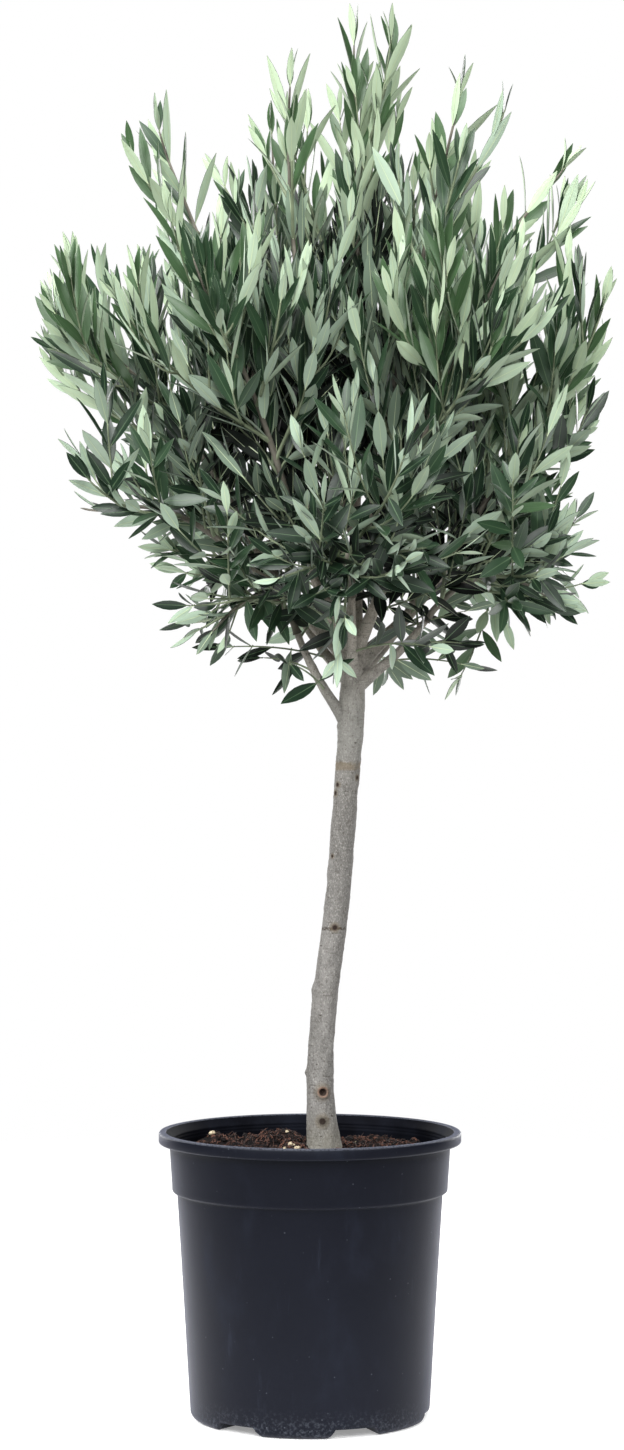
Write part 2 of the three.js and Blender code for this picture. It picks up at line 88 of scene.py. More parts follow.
POT = Sizes(
    rim_radius=120, height=226, lip_height=9, lip_width=6,
    band_top_radius=111.2, band_foot_radius=109.2, band_foot=180,
    body_top_radius=105.3, body_foot_radius=95, foot_radius=89,
    wall=1.8, floor=8,
)
NOTCH = Sizes(
    count=6, first_bearing=232.3, height=7.4, foot_width=43, roof_width=34,
    inner_radius=46, hole_radius=6, hole_reach=70,
)
COMPOST = Sizes(top=207, mound=3, clearance=1.2)

POT_SEGMENTS = 480
CORNER = 6  # radius of the round between the foot and the body
OUTER_ROWS = 70  # of the section, from its middle outwards, that the notches lift
INNER_RIDGES = (219.2, 216.6, 214.0)  # heights of the fine ridges inside the lip
HEAPS = [  # right, back, width, depth and rise of each heap of compost
    (-31, 46, 25, 30, 10.0), (-78, 50, 15, 15, 8.0), (60, 50, 30, 30, 4.0),
]
PLACED_STONES = [  # right, back and size
    (-16, -2, 2.6), (-10, -7, 2.4), (-20, -9, 2.0), (-13, 4, 2.0), (-79, 50, 2.5),
]

TRUNK_FOOT = 210.3
FORK = 614
SWAY = [  # height, then how far the trunk's axis stands to the right and to the back
    (TRUNK_FOOT, 11, 0), (262, 8, 1), (322, 11, 3), (406, 21.5, 4),
    (488, 28, 2), (556, 33, 0), (FORK, 34.5, 0),
]
TRUNK = Sizes(
    radius=10.2, fork_radius=9.4, flare=4.6, flare_height=26,
    swelling=0.9, swelling_height=552, swelling_length=22,
)
TRUNK_DOME = 6.0  # how far the trunk's rounded top stands over the fork
COLLAR_HEIGHT = 547  # of the ridge under the lowest bough
BOUGH = Sizes(tip_radius=2.6, out_bend=0.14, sag=0.06)
RELIEF = [  # waves of the bark: how many, their turns, their lengths and their depth
    (14, (2, 9), (18, 70), 0.05), (26, (9, 30), (4, 16), 0.018),
]

Limb = namedtuple(
    "Limb",
    "name parent bearing springs radius reach rise"
    " tip_bearing tip_reach tip_rise shoots shoot spread",
)
LIMBS = [
    Limb("leader", "trunk", 60, 612, 7.2, 6, 750, 270, 8, 1124, 5, 200, 24),
    Limb("upper_left", "leader", 178, 668, 4.6, 56, 764, 180, 168, 1050, 6, 150, 30),
    Limb("upper_front_left", "leader", 238, 700, 4.3, 44, 772, 236, 104, 1074, 6, 150, 32),
    Limb("upper_front_right", "leader", 302, 682, 4.4, 48, 768, 310, 136, 1066, 6, 150, 32),
    Limb("upper_right", "leader", 2, 660, 4.7, 52, 775, 4, 186, 1034, 6, 150, 30),
    Limb("upper_back_right", "leader", 62, 690, 4.4, 50, 768, 58, 142, 1046, 6, 150, 32),
    Limb("upper_back_left", "leader", 122, 712, 4.3, 47, 776, 126, 128, 1062, 6, 150, 32),
    Limb("middle_left", "trunk", 176, 600, 6.4, 86, 704, 178, 254, 908, 8, 135, 40),
    Limb("middle_front_left", "trunk", 232, 606, 5.6, 78, 712, 236, 216, 900, 8, 130, 40),
    Limb("middle_front_right", "trunk", 300, 603, 5.6, 75, 710, 302, 208, 908, 8, 130, 40),
    Limb("middle_right", "trunk", 4, 596, 6.6, 84, 690, 2, 214, 874, 8, 130, 40),
    Limb("middle_back_right", "trunk", 58, 605, 5.6, 76, 714, 58, 208, 902, 8, 130, 40),
    Limb("middle_back_left", "trunk", 116, 602, 5.6, 78, 712, 118, 214, 900, 8, 130, 40),
    Limb("lower_left", "middle_left", 190, 655, 4.0, 88, 676, 184, 246, 744, 8, 110, 44),
    Limb("lowest_left", "trunk", 196, 548, 4.6, 46, 620, 198, 172, 640, 8, 100, 44),
    Limb("lower_front", "trunk", 268, 588, 4.8, 58, 648, 266, 190, 684, 8, 110, 46),
    Limb("lower_right", "trunk", 340, 578, 4.8, 60, 630, 348, 222, 656, 8, 110, 46),
    Limb("lower_back_right", "trunk", 34, 584, 4.6, 58, 646, 32, 204, 696, 8, 105, 46),
    Limb("lower_back_left", "trunk", 142, 582, 4.8, 60, 646, 136, 210, 690, 8, 110, 46),
]
TIERS = ("upper", "middle", "lower")

# The crown's outline: height, reach, and how far its middle stands to the right.
CROWN = np.array([
    (545, 72, 45), (585, 124, 52), (605, 156, 46), (640, 182, 44), (665, 200, 50),
    (700, 192, 38), (740, 218, 10), (775, 224, 6), (870, 238, 11), (940, 226, 18),
    (1015, 194, 28), (1052, 158, 12), (1078, 96, 46), (1119, 44, 54),
], float)

STEM = Sizes(radius=2.8, tip_radius=1.0, foot=40)  # the foot bears no leaves
SHOOT = Sizes(radius=1.6, tip_radius=0.9, foot=16)
STEM_LEAD = 0.45
SHOOT_SPAN = (0.1, 0.8)
SHOOT_LIFT = 0.6
SHORTEST_SHOOT = 22
CHECKS = 25  # places along a shoot where its space is tested
LIMB_CLEARANCE = 1
SOLID_END_LEAF = 98 * 0.66  # the leaf that ends a twig of the solids
SHORTEST_END_LEAF = SOLID_END_LEAF * 0.66
FIRST_SEED = 401

# ---- finer growth

END_LEAF = 30  # length of the small leaf that ends a fine twig
TWIG = Sizes(radius=0.95, tip_radius=0.5, foot=7)
TWIG_SPACING = 19  # between fine side twigs
TWIG_LENGTH = 108
SHORTEST_TWIG_STEPS = 5
TWIG_SPAN = (0.05, 0.74)  # the stretch of a shoot that bears fine twigs
BOUGH_SPAN = (0.25, 1.0)  # and of a bough
BOUGH_GROUP = 9  # the number that turns its twigs, as a shoot's own does
TWIG_TOP = (780, 910)  # fine twigs end at a height between these
LEADER_TWIG_RISE = 90  # and at this much more on the leader
TOP_HEIGHT = 930
TOP_CHANGE = (-1.6, 0.7)  # shoots above that height end short or long by a share
LONG_FROM, LONG_SHOOT_TO, LONG_STEM_TO = 690, 830, 900  # heights of ends grown long
NODE_SPACING = 16.2  # between pairs of leaves
LEAF_LENGTH = 52
LEAF_WIDTH = 9.5
LEAF_ANGLE = 19
GROWTH_SEED = 20


def unit(vectors):
    """Vectors over their own lengths."""
    return vectors / np.maximum(np.linalg.norm(vectors, axis=-1, keepdims=True), 1e-12)


def lerp(a, b, t):
    """a + (b - a) t."""
    return a + (b - a) * t


def smooth(low, high, value):
    """A smooth step: 0 below low, 1 above high, 3t^2 - 2t^3 between."""
    t = np.clip((value - low) / (high - low), 0, 1)
    return t * t * (3 - 2 * t)


def bezier(a, b, c, t):
    """Quadratic: (1-t)^2 a + 2t(1-t) b + t^2 c."""
    t = np.asarray(t, float)[..., None]
    return (1 - t) ** 2 * a + 2 * t * (1 - t) * b + t**2 * c


def around(count):
    """Even turns round a circle: 0 to 2 pi over count."""
    return np.arange(count) * TAU / count


class Path:
    """A smooth curve as many points, looked up by the share of its length."""

    def __init__(self, points, controls=None):
        self.points = np.asarray(points, float)
        self.controls = controls
        steps = np.linalg.norm(np.diff(self.points, axis=0), axis=1)
        self.run = np.concatenate([[0.0], np.cumsum(steps)])
        self.length = self.run[-1]

    def at(self, share):
        where = np.asarray(share, float) * self.length
        return np.stack([np.interp(where, self.run, axis) for axis in self.points.T], axis=-1)

    def heading(self, share):
        share = np.asarray(share, float)
        ahead, behind = np.minimum(share + 0.01, 1), np.maximum(share - 0.01, 0)
        return unit(self.at(ahead) - self.at(behind))


def bent(a, b, c):
    """A quadratic curve as a path."""
    return Path(bezier(a, b, c, np.linspace(0, 1, 97)), (a, b, c))


def through(points, steps=24):
    """Centripetal Catmull-Rom: cubic stretches whose knots lie the root of a step apart."""
    p = np.vstack([2 * points[0] - points[1], points, 2 * points[-1] - points[-2]])
    made = [points[0][None]]
    t = (np.arange(steps) + 1)[:, None] / steps
    for i in range(1, len(p) - 2):
        x0, x1, x2, x3 = p[i - 1 : i + 3]
        d0, d1, d2 = (np.linalg.norm(b - a) ** 0.5 for a, b in ((x0, x1), (x1, x2), (x2, x3)))
        t1 = ((x1 - x0) / d0 - (x2 - x0) / (d0 + d1) + (x2 - x1) / d1) * d1
        t2 = ((x2 - x1) / d1 - (x3 - x1) / (d1 + d2) + (x3 - x2) / d2) * d1
        c2, c3 = -3 * x1 + 3 * x2 - 2 * t1 - t2, 2 * x1 - 2 * x2 + t1 + t2
        made.append(x1 + t1 * t + c2 * t**2 + c3 * t**3)
    return Path(np.vstack(made))


def seeded(seed):
    """The mulberry32 generator: numbers from 0 to 1."""
    full = 0xFFFFFFFF
    state = seed

    def draw():
        nonlocal state
        state = (state + 0x6D2B79F5) & full
        t = state
        t = ((t ^ (t >> 15)) * (t | 1)) & full
        t ^= (t + (((t ^ (t >> 7)) * (t | 61)) & full)) & full
        return ((t ^ (t >> 14)) & full) / 4294967296

    return draw


def around_fork(bearing, reach, height):
    """A point at a bearing and a distance from the fork's axis."""
    angle = math.radians(bearing)
    _, x, y = SWAY[-1]
    return np.array([x + reach * math.cos(angle), y + reach * math.sin(angle), height])


# ---- limbs

trunk_path = through(np.array([(right, back, height) for height, right, back in SWAY], float))


def trunk_radius(height, share):
    """Taper, a flare that dies away as exp(-h), and a swelling as exp(-h^2)."""
    flare = TRUNK.flare * np.exp(-(height - TRUNK_FOOT) / TRUNK.flare_height)
    off = (height - TRUNK.swelling_height) / TRUNK.swelling_length
    taper = lerp(TRUNK.radius, TRUNK.fork_radius, share)
    return taper + flare + TRUNK.swelling * np.exp(-off * off)


def bough_path(limb, paths):
    """From its parent's axis outwards, bowed out and down, up to its tip."""
    parent = paths[limb.parent].at(np.linspace(0, 1, 201))
    foot = parent[np.argmin(np.abs(parent[:, 2] - limb.springs))]
    tip = around_fork(limb.bearing, limb.reach, limb.rise)
    rise = tip[2] - foot[2]
    outward = (tip - foot) * [1, 1, 0]
    bend = (foot + tip) / 2 + BOUGH.out_bend * outward - BOUGH.sag * rise * UP
    return bent(foot, bend, tip)


def stem_path(limb, bough):
    """Goes on from its bough's tip, and bends towards the tip of its mass."""
    a, b, c = bough.controls
    heading = unit(c - b)
    start = c + heading * GAP
    reach = around_fork(limb.tip_bearing, limb.tip_reach, limb.tip_rise)
    length = np.linalg.norm(reach - start)
    tip = lerp(start, reach, 1 - SOLID_END_LEAF / length)
    return bent(start, start + heading * STEM_LEAD * length, tip)


def grow_limbs():
    paths = {"trunk": trunk_path}
    for limb in LIMBS:
        paths[limb.name] = bough_path(limb, paths)
    stems = [stem_path(limb, paths[limb.name]) for limb in LIMBS]
    return paths, stems


paths, stems = grow_limbs()
hearts = np.array([bezier(*stem.controls, 0.5) for stem in stems])


# ---- the crown's space

def inside_crown(points, margin=0.0):
    """Nearer to the crown's middle, at that height, than its outline."""
    z = points[..., 2]
    reach = np.interp(z, CROWN[:, 0], CROWN[:, 1]) - margin
    shift = np.interp(z, CROWN[:, 0], CROWN[:, 2])
    level = np.hypot(points[..., 0] - shift, points[..., 1])
    return (level < reach) & (z > CROWN[0, 0]) & (z < CROWN[-1, 0] - margin)


def own_space(points, own, radius=0.0):
    """Further on its own side of the plane half way to each other heart than a radius."""
    others = np.delete(hearts, own, axis=0)
    apart = np.linalg.norm(others - hearts[own], axis=1)
    to_others = ((points[..., None, :] - others) ** 2).sum(-1)
    to_own = ((points - hearts[own]) ** 2).sum(-1)[..., None]
    return ((to_others - to_own) / (2 * apart) > radius + GAP).all(-1)


SAMPLES = np.linspace(0, 1, 61)


def limb_samples():
    """Points along the trunk and boughs, and along each stem, with the radius there."""
    height = trunk_path.at(SAMPLES)[:, 2]
    wood = [(trunk_path.at(SAMPLES), trunk_radius(height, SAMPLES))]
    for limb in LIMBS:
        thick = lerp(limb.radius, BOUGH.tip_radius, SAMPLES)
        wood.append((paths[limb.name].at(SAMPLES), thick))
    thin = lerp(STEM.radius, STEM.tip_radius, SAMPLES)
    return wood, [(stem.at(SAMPLES), thin) for stem in stems]


wood_samples, stem_samples = limb_samples()


def clear_of(points, samples, radius):
    """Further than both radii, and a little more, from every sample."""
    at = np.vstack([where for where, _ in samples])
    thick = np.concatenate([radii for _, radii in samples])
    apart = np.linalg.norm(points[:, None, :] - at, axis=-1)
    return (apart > thick + radius + LIMB_CLEARANCE).all(-1)


# ---- twigs

def across(heading):
    """Two directions square to a heading, the first of them level."""
    level = np.cross(heading, UP)
    short = np.linalg.norm(level, axis=-1, keepdims=True) < 0.05
    level = unit(np.where(short, [1.0, 0.0, 0.0], level))
    return level, unit(np.cross(level, heading))


def leaning(heading, angle, turn):
    """The heading turned by an angle, at a turn round it: cos, sin cos, sin sin."""
    a, b = across(heading)
    angle, turn = np.radians(angle), np.radians(turn)
    angle, turn = np.asarray(angle)[..., None], np.asarray(turn)[..., None]
    return heading * np.cos(angle) + np.sin(angle) * (a * np.cos(turn) + b * np.sin(turn))


def shoot_path(start, heading, spread, turn, length):
    """Leaves its stem at an angle, and bends up as far as the stem itself rises."""
    out = leaning(heading, spread, turn)
    end = unit(out + UP * SHOOT_LIFT * heading[2])
    bend = start + out * length / 2
    return bent(start, bend, bend + end * length / 2)


def stretch_inside(path, own, samples, radius):
    """The first stretch that stays in its space with room for a leaf, or None."""
    shares = np.linspace(0, 1, CHECKS)
    points = path.at(shares)
    ahead = points + path.heading(shares) * SHORTEST_END_LEAF
    stops = ~(inside_crown(points) & own_space(points, own, radius))
    stops |= ~(inside_crown(ahead) & own_space(ahead, own))
    stops |= (np.arange(CHECKS) > 2) & ~clear_of(points, samples, radius)
    if not stops.any():
        return path
    last = int(np.argmax(stops)) - 2
    if last < 2 or np.linalg.norm(points[last] - points[0]) < SHORTEST_SHOOT:
        return None
    return Path(path.at(np.linspace(0, shares[last], 49)))


def stretched(path, extra, rise, rng):
    """The path carried on by an end that turns up, or cut short where the extra is below 0."""
    if extra < 0:
        return Path(path.at(np.linspace(0, 1 + extra / path.length, 25)))
    tip, heading = path.points[-1], path.heading(1.0)
    turned = leaning(heading, rng.uniform(0, 8), rng.uniform(0, 360))
    turned = unit(turned + UP * rise)
    shares = np.linspace(0, 1, 9)[1:]
    on = bezier(tip, tip + heading * extra / 2, tip + (heading + turned) * extra / 2, shares)
    keep = inside_crown(on + unit(turned) * END_LEAF * 0.9)
    keep = np.cumprod(keep).astype(bool)
    return Path(np.vstack([path.points, on[keep]]))


Spray = namedtuple("Spray", "path radius tip_radius foot order")


def grow_mass(own, rng):
    """The stem and shoots of the solids' rule, then a finer order of twigs on both."""
    limb, stem = LIMBS[own], stems[own]
    random = seeded(FIRST_SEED + own)
    samples = wood_samples + [s for i, s in enumerate(stem_samples) if i != own]
    grown = [(stem, STEM, 0)]
    for i in range(limb.shoots):
        t = lerp(*SHOOT_SPAN, (i + 0.5) / limb.shoots)
        turn = GOLDEN_ANGLE * i + TURN_CHANCE * random()
        length = limb.shoot * (1.1 - 0.55 * t) * (0.8 + 0.4 * random())
        a, b, c = stem.controls
        start = bezier(a, b, c, t)
        heading = unit((1 - t) * (b - a) + t * (c - b))
        whole = shoot_path(start, heading, limb.spread, turn, length)
        path = stretch_inside(whole, own, samples, SHOOT.radius)
        if path is not None:
            grown.append((path, SHOOT, 1))
    sprays = side_twigs(paths[limb.name], limb, 1, BOUGH_GROUP, rng, BOUGH_SPAN)
    for group, (path, size, order) in enumerate(grown):
        height = path.points[-1][2]
        extra = SOLID_END_LEAF - END_LEAF
        extra *= rng.uniform(*TOP_CHANGE) if group and height > TOP_HEIGHT else 1
        rise = 0.5 * smooth(730, 860, height)
        if LONG_FROM < height < (LONG_STEM_TO if group == 0 else LONG_SHOOT_TO):
            extra, rise = 2.2 * extra, 0.9
        path = stretched(path, extra, rise, rng)
        sprays.append(Spray(path, size.radius, size.tip_radius * 0.75, size.foot, order))
        sprays += side_twigs(path, limb, order, group, rng, TWIG_SPAN)
    return sprays


def twig_path(start, heading, spread, turn, length):
    """Leaves its shoot at an angle, then bends up in the crown and droops below it."""
    out = leaning(heading, spread, turn)
    rising = smooth(585, 760, start[2])
    end = unit(out + UP * lerp(-0.45, 2.4, rising))
    first = lerp(0.45, 0.3, rising) * length
    bend = start + out * first
    return bent(start, bend, bend + end * (length - first))


def side_twigs(path, limb, order, group, rng, span):
    """Fine twigs at even steps along a span of a shoot, shorter towards its tip."""
    count = int(path.length * (span[1] - span[0]) / TWIG_SPACING)
    made = []
    for i in range(count):
        share = lerp(*span, (i + rng.uniform(0.2, 0.8)) / max(count, 1))
        turn = GOLDEN_ANGLE * i + 60 * group + TURN_CHANCE * rng.random()
        top = rng.uniform(*TWIG_TOP) + (LEADER_TWIG_RISE if limb.name == "leader" else 0)
        start, heading = path.at(share), path.heading(share)
        if start[2] > top + 60 * smooth(0.6, 0.8, openness(start)):
            continue
        length = TWIG_LENGTH * (1.15 - 0.75 * share) * rng.uniform(0.7, 1.25)
        twig = twig_path(start, heading, limb.spread * rng.uniform(0.9, 1.3), turn, length)
        shares = np.linspace(0, 1, 17)
        points = twig.at(shares)
        ahead = points + twig.heading(shares) * END_LEAF
        good = inside_crown(ahead, 1) & inside_crown(points, 1)
        good &= (shares < 0.2) | clear_of(points, wood_samples, TWIG.radius)
        last = int(np.cumprod(good).sum()) - 1
        if last < SHORTEST_TWIG_STEPS:
            continue
        twig = Path(twig.at(np.linspace(0, shares[last], 25)))
        made.append(Spray(twig, TWIG.radius, TWIG.tip_radius, TWIG.foot, order + 2))
    return made


# ---- leaves

Leaves = namedtuple("Leaves", "root along wide length width arch twist shade")
UPPER_SHADES = 5  # greens of a leaf's upper side, from dark to pale: old leaves and painted shade within the crown, to young leaves and painted light at the top and outside
RIBS = 2 * UPPER_SHADES  # as many greens below, then the midrib above and below
DEAD = RIBS + 2
DEAD_SHARE = 0.002  # of the leaves of the lower tier
DEAD_SIZE = 0.62  # a dead leaf has shrunk to this share of its size
BOX_MARGIN = 0.6 * MM  # the leaves keep this far within the solids' box
SHADE_STRETCH = 100  # length of a spray that shares a green
FIRST_NODE = 4  # from the tip to the first pair
TIP_LEAF = 0.55  # size of the leaf at the tip
SIZES = (TIP_LEAF, 0.76, 1.0)  # a leaf takes the largest of these that fits


def openness(point):
    """0 on the crown's axis and 1 at its outline or at its top."""
    reach = np.interp(point[2], CROWN[:, 0], CROWN[:, 1])
    shift = np.interp(point[2], CROWN[:, 0], CROWN[:, 2])
    return max(np.hypot(point[0] - shift, point[1]) / reach, smooth(840, 1040, point[2]))


def shade_of(point, rng):
    """Pale at the top and outside, dark within and low down: partly young and old leaves,
    partly painted light and painted shade.
    """
    # the greens follow height and openness, so the crown's inside gets painted shade and its
    # outside painted light
    height = (point[2] - 560) / 560
    open_to = openness(point)
    full = lerp(0.78, 0.48, smooth(740, 960, point[2]))
    youth_and_painted_light = -0.28 + 0.58 * height + 0.74 * smooth(0.08, full, open_to) + rng.normal(0, 0.13)
    youth_and_painted_light = max(youth_and_painted_light, smooth(0.45, 0.85, open_to) * (0.3 + 0.42 * height))
    youth_and_painted_light += 0.28 * (1 - smooth(600, 700, point[2]))
    return int(np.clip(youth_and_painted_light * UPPER_SHADES, 0, UPPER_SHADES - 1))


def leaves_of(spray, rng):
    """Opposite pairs, each a quarter turn from the last, and one leaf at the tip."""
    path, tip = spray.path, spray.path.points[-1]
    top = smooth(900, 1060, tip[2])
    spacing = NODE_SPACING * (1 + 0.72 * top)
    pairs = max(1, int((path.length - spray.foot - FIRST_NODE) / spacing) + 1)
    back = FIRST_NODE + spacing * np.arange(pairs) * rng.uniform(0.92, 1.12)
    back = np.repeat(back, 2) + rng.uniform(-1.2, 1.2, 2 * pairs)
    keep = rng.random(2 * pairs) > lerp(0.45, 0.06, smooth(570, 740, tip[2]))
    keep &= back < path.length - 3
    side, node = np.tile([0, 180], pairs)[keep], np.repeat(np.arange(pairs), 2)[keep]
    back = back[keep]
    count = len(back)
    share = 1 - back / path.length
    root = path.at(share)
    turn = rng.uniform(0, 360) + 90 * node + side + rng.normal(0, 14, count)
    low = 1 - smooth(610, 880, root[:, 2])
    angle = LEAF_ANGLE + 22 * low + 8 * top + 14 * smooth(0, 90, back)
    angle = angle + rng.normal(0, 1, count) * (7 + 9 * low)
    young = (0.58 + 0.42 * smooth(0, 36, back)) * (1 + 0.02 * top)
    size = young * rng.uniform(0.78, 1.14, count) * (1 - 0.26 * low)
    heading = path.heading(share)
    along = leaning(heading, angle, turn)
    droop = 0.4 * low * rng.random(count)
    along = unit(along + UP * (0.55 * (1 - low) - droop)[:, None])
    wide = unit(np.cross(heading, along))
    tip_along = leaning(path.heading(1.0), rng.uniform(2, 12), rng.uniform(0, 360))
    tip_wide = unit(np.cross(tip_along, rng.normal(0, 1, 3)))
    root, along, wide = (
        np.vstack(rows) for rows in ((root, tip), (along, tip_along), (wide, tip_wide))
    )
    size, back = np.append(size, TIP_LEAF), np.append(back, 0)
    low = np.append(low, low[-1] if len(low) else 0)
    stretches = np.arange(back.max() // SHADE_STRETCH + 1)
    middles = np.clip(1 - (stretches + 0.5) * SHADE_STRETCH / path.length, 0.2, 1)
    shades = np.array([shade_of(path.at(middle), rng) for middle in middles])
    shade = shades[(back // SHADE_STRETCH).astype(int)]
    width = rng.uniform(0.86, 1.14, count + 1) * (1 + 0.42 * low) * size**0.8
    arch, twist = rng.normal(0.03, 0.06, count + 1), rng.normal(0, 1, count + 1)
    return Leaves(
        root, along, wide, LEAF_LENGTH * size, LEAF_WIDTH * width,
        arch, twist * (22 + 22 * low), shade,
    )


def fits(leaves):
    """Where a blade keeps within the crown's outline and clears the trunk and boughs."""
    good = inside_crown(leaves.root + leaves.along * leaves.length[:, None])
    corners = blade_points(leaves, BLADE_SIDES, 0.0) * MM
    lowest, highest = np.array(CAD_BOX[0]) + BOX_MARGIN, np.array(CAD_BOX[1]) - BOX_MARGIN
    good &= ((corners > lowest) & (corners < highest)).all(axis=(1, 2, 3))
    for share in (0.3, 0.6, 0.95):
        points = leaves.root + leaves.along * (leaves.length * share)[:, None]
        good &= inside_crown(points) & clear_of(points, wood_samples, 1.5)
    return good


def fitting(leaves):
    """The leaves at the largest size that fits, with half of the smallest left out."""
    size = np.zeros(len(leaves.root))
    for scale in SIZES:
        size[fits(leaves._replace(length=leaves.length * scale))] = scale
    size[(size < 0.6) & (np.arange(len(size)) % 2 == 1)] = 0
    sized = leaves._replace(length=leaves.length * size, width=leaves.width * size**0.7)
    return Leaves(*(field[size > 0] for field in sized))


# The blade's outline: share of its length, and of its half width there.
BLADE = np.array([
    (0, 0.07), (0.06, 0.12), (0.18, 0.54), (0.34, 0.88), (0.52, 1.0), (0.7, 0.86),
    (0.86, 0.5), (1, 0.02),
])
BLADE_SIDES, RIB_SIDES = (-1, 0, 1), (-1, 1)
FOLD = 0.2  # how far the sides rise from the midrib, as a share of their width
BLADE_THICKNESS = 0.35
MIDRIB = 0.36
RIB_ABOVE, RIB_BELOW = 0.12, 0.2  # how far the midrib stands out


def blade_points(leaves, sides, lift, rib=False):
    """root + along s + wide w + facing (fold |w| - arch s^2), turned about the midrib."""
    facing = np.cross(leaves.along, leaves.wide)
    twist = np.radians(leaves.twist)[:, None]
    wide = leaves.wide * np.cos(twist) + facing * np.sin(twist)
    facing = np.cross(leaves.along, wide)
    s, w = BLADE.T[:, None, :, None]
    length, half = leaves.length[:, None, None], leaves.width[:, None, None] / 2
    u = np.array(sides) * (MIDRIB * (1.1 - 0.8 * s) if rib else w * half)
    rise = FOLD * np.abs(u) - leaves.arch[:, None, None] * length * s**2 + lift
    root, along, wide, facing = (
        v[:, None, None] for v in (leaves.root, leaves.along, wide, facing)
    )
    run = (s * length)[..., None]
    return root + along * run + wide * u[..., None] + facing * rise[..., None]


def grid_quads(rows, columns, closed=False):
    """Corner numbers of the quads of a grid, wound anticlockwise."""
    across_it = np.arange(columns if closed else columns - 1)
    row, column = np.meshgrid(np.arange(rows - 1), across_it, indexing="ij")
    following = (column + 1) % columns
    a, b = row * columns + column, row * columns + following
    return np.stack([a, b, b + columns, a + columns], -1).reshape(-1, 4)


def many(points, quads):
    """The same quads for each of a stack of grids, with running corner numbers."""
    each = int(np.prod(points.shape[1:-1]))
    faces = quads[None] + (np.arange(points.shape[0]) * each)[:, None, None]
    return points.reshape(-1, 3), faces.reshape(-1, 4)


def stacked(parts):
    """Several corner and face arrays as one."""
    corners, faces, start = [], [], 0
    for where, numbered in parts:
        corners.append(where)
        faces.append(numbered + start)
        start += len(where)
    return np.vstack(corners), np.vstack(faces)


def leaf_parts(leaves):
    """Upper side, under side and the midrib on each, with a material for every face."""
    blade, strip = (grid_quads(len(BLADE), len(sides)) for sides in (BLADE_SIDES, RIB_SIDES))
    below = -BLADE_THICKNESS
    parts = [
        (blade_points(leaves, BLADE_SIDES, 0.0), blade[:, ::-1], leaves.shade),
        (blade_points(leaves, BLADE_SIDES, below), blade, UPPER_SHADES + leaves.shade),
        (blade_points(leaves, RIB_SIDES, RIB_ABOVE, True), strip[:, ::-1], RIBS),
        (blade_points(leaves, RIB_SIDES, below - RIB_BELOW, True), strip, RIBS + 1),
    ]
    corners, faces = stacked([many(points, quads) for points, quads, _ in parts])
    dead = leaves.shade == DEAD
    which = [np.repeat(np.where(dead, DEAD, kind), len(quads)) for _, quads, kind in parts]
    return corners, faces, np.concatenate(which)


# ---- tubes

def tubes(points, radii, sides):
    """Rings square to each of a stack of paths of the same number of points."""
    ahead = unit(np.gradient(points, axis=1))
    whole = unit(points[:, -1] - points[:, 0])
    least = np.eye(3)[np.argmin(np.abs(whole), axis=1)][:, None]
    a = unit(np.cross(ahead, least))
    b = np.cross(ahead, a)
    turn = around(sides)
    ring = a[:, :, None] * np.cos(turn)[:, None] + b[:, :, None] * np.sin(turn)[:, None]
    where = points[:, :, None] + ring * radii[:, :, None, None]
    return many(where, grid_quads(points.shape[1], sides, closed=True))


def tube_set(sprays, rings, sides):
    """Tapering tubes, thicker by exp(-run) at the foot and drawn in at the tip."""
    shares = np.linspace(0, 1, rings)
    points = np.stack([spray.path.at(shares) for spray in sprays])
    sizes = np.array([(s.radius, s.tip_radius, s.path.length) for s in sprays])
    foot, tip, length = sizes.T[..., None]
    radii = lerp(foot, tip, shares) * (1 + 0.5 * np.exp(-shares * length / 3))
    radii[:, -1] *= 0.3
    return tubes(points, radii, sides)


# ---- meshes

def placed(name, data):
    """A new object in the scene, at the origin."""
    made = bpy.data.objects.new(name, data)
    bpy.context.scene.collection.objects.link(made)
    return made


def add_mesh(name, corners, faces, materials, which=None):
    """A smooth mesh from corner and quad arrays in millimetres."""
    mesh = bpy.data.meshes.new(name)
    mesh.vertices.add(len(corners))
    mesh.vertices.foreach_set("co", (np.asarray(corners) * MM).astype(np.float32).ravel())
    mesh.loops.add(faces.size)
    mesh.loops.foreach_set("vertex_index", faces.astype(np.int32).ravel())
    mesh.polygons.add(len(faces))
    mesh.polygons.foreach_set("loop_start", np.arange(0, faces.size, 4, dtype=np.int32))
    if which is not None:
        mesh.polygons.foreach_set("material_index", which.astype(np.int32))
    mesh.polygons.foreach_set("use_smooth", np.ones(len(faces), bool))
    for material in materials:
        mesh.materials.append(material)
    mesh.update()
    mesh.validate()
    return placed(name, mesh)


def add_piece(name, *mesh):
    """A mesh that rides on the plant's body."""
    piece = add_mesh(name, *mesh)
    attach(piece, "root")
    return piece


def turned(radius, segments):
    """Rings round the axis, as r cos a and r sin a."""
    return radius * np.cos(around(segments)), radius * np.sin(around(segments))


def corner_list(x, y, z):
    """Three arrays of coordinates as one list of corners."""
    return np.stack(np.broadcast_arrays(x, y, z), -1).reshape(-1, 3)


# ---- materials

class Socket:
    """A node's output, with the operators that are used on it as on a number."""

    def __init__(self, shader, output):
        self.shader = shader
        self.output = output

    def math(self, operation, *values):
        return self.shader.node("Math", dict(enumerate(values)), operation=operation)

    def __add__(self, other):
        return self.math("ADD", self, other)

    def __mul__(self, other):
        return self.math("MULTIPLY", self, other)

    def __sub__(self, other):
        return self.math("SUBTRACT", self, other)

    def __rsub__(self, other):
        return self.math("SUBTRACT", other, self)

    def __abs__(self):
        return self.math("ABSOLUTE", self)

    __radd__, __rmul__ = __add__, __mul__

    def step(self, low, high):
        """0 below low, 1 above high, smooth between; falling where low is above high."""
        values = {"Value": self, "From Min": low, "From Max": high}
        return self.shader.node("MapRange", values, "Result", interpolation_type="SMOOTHSTEP")


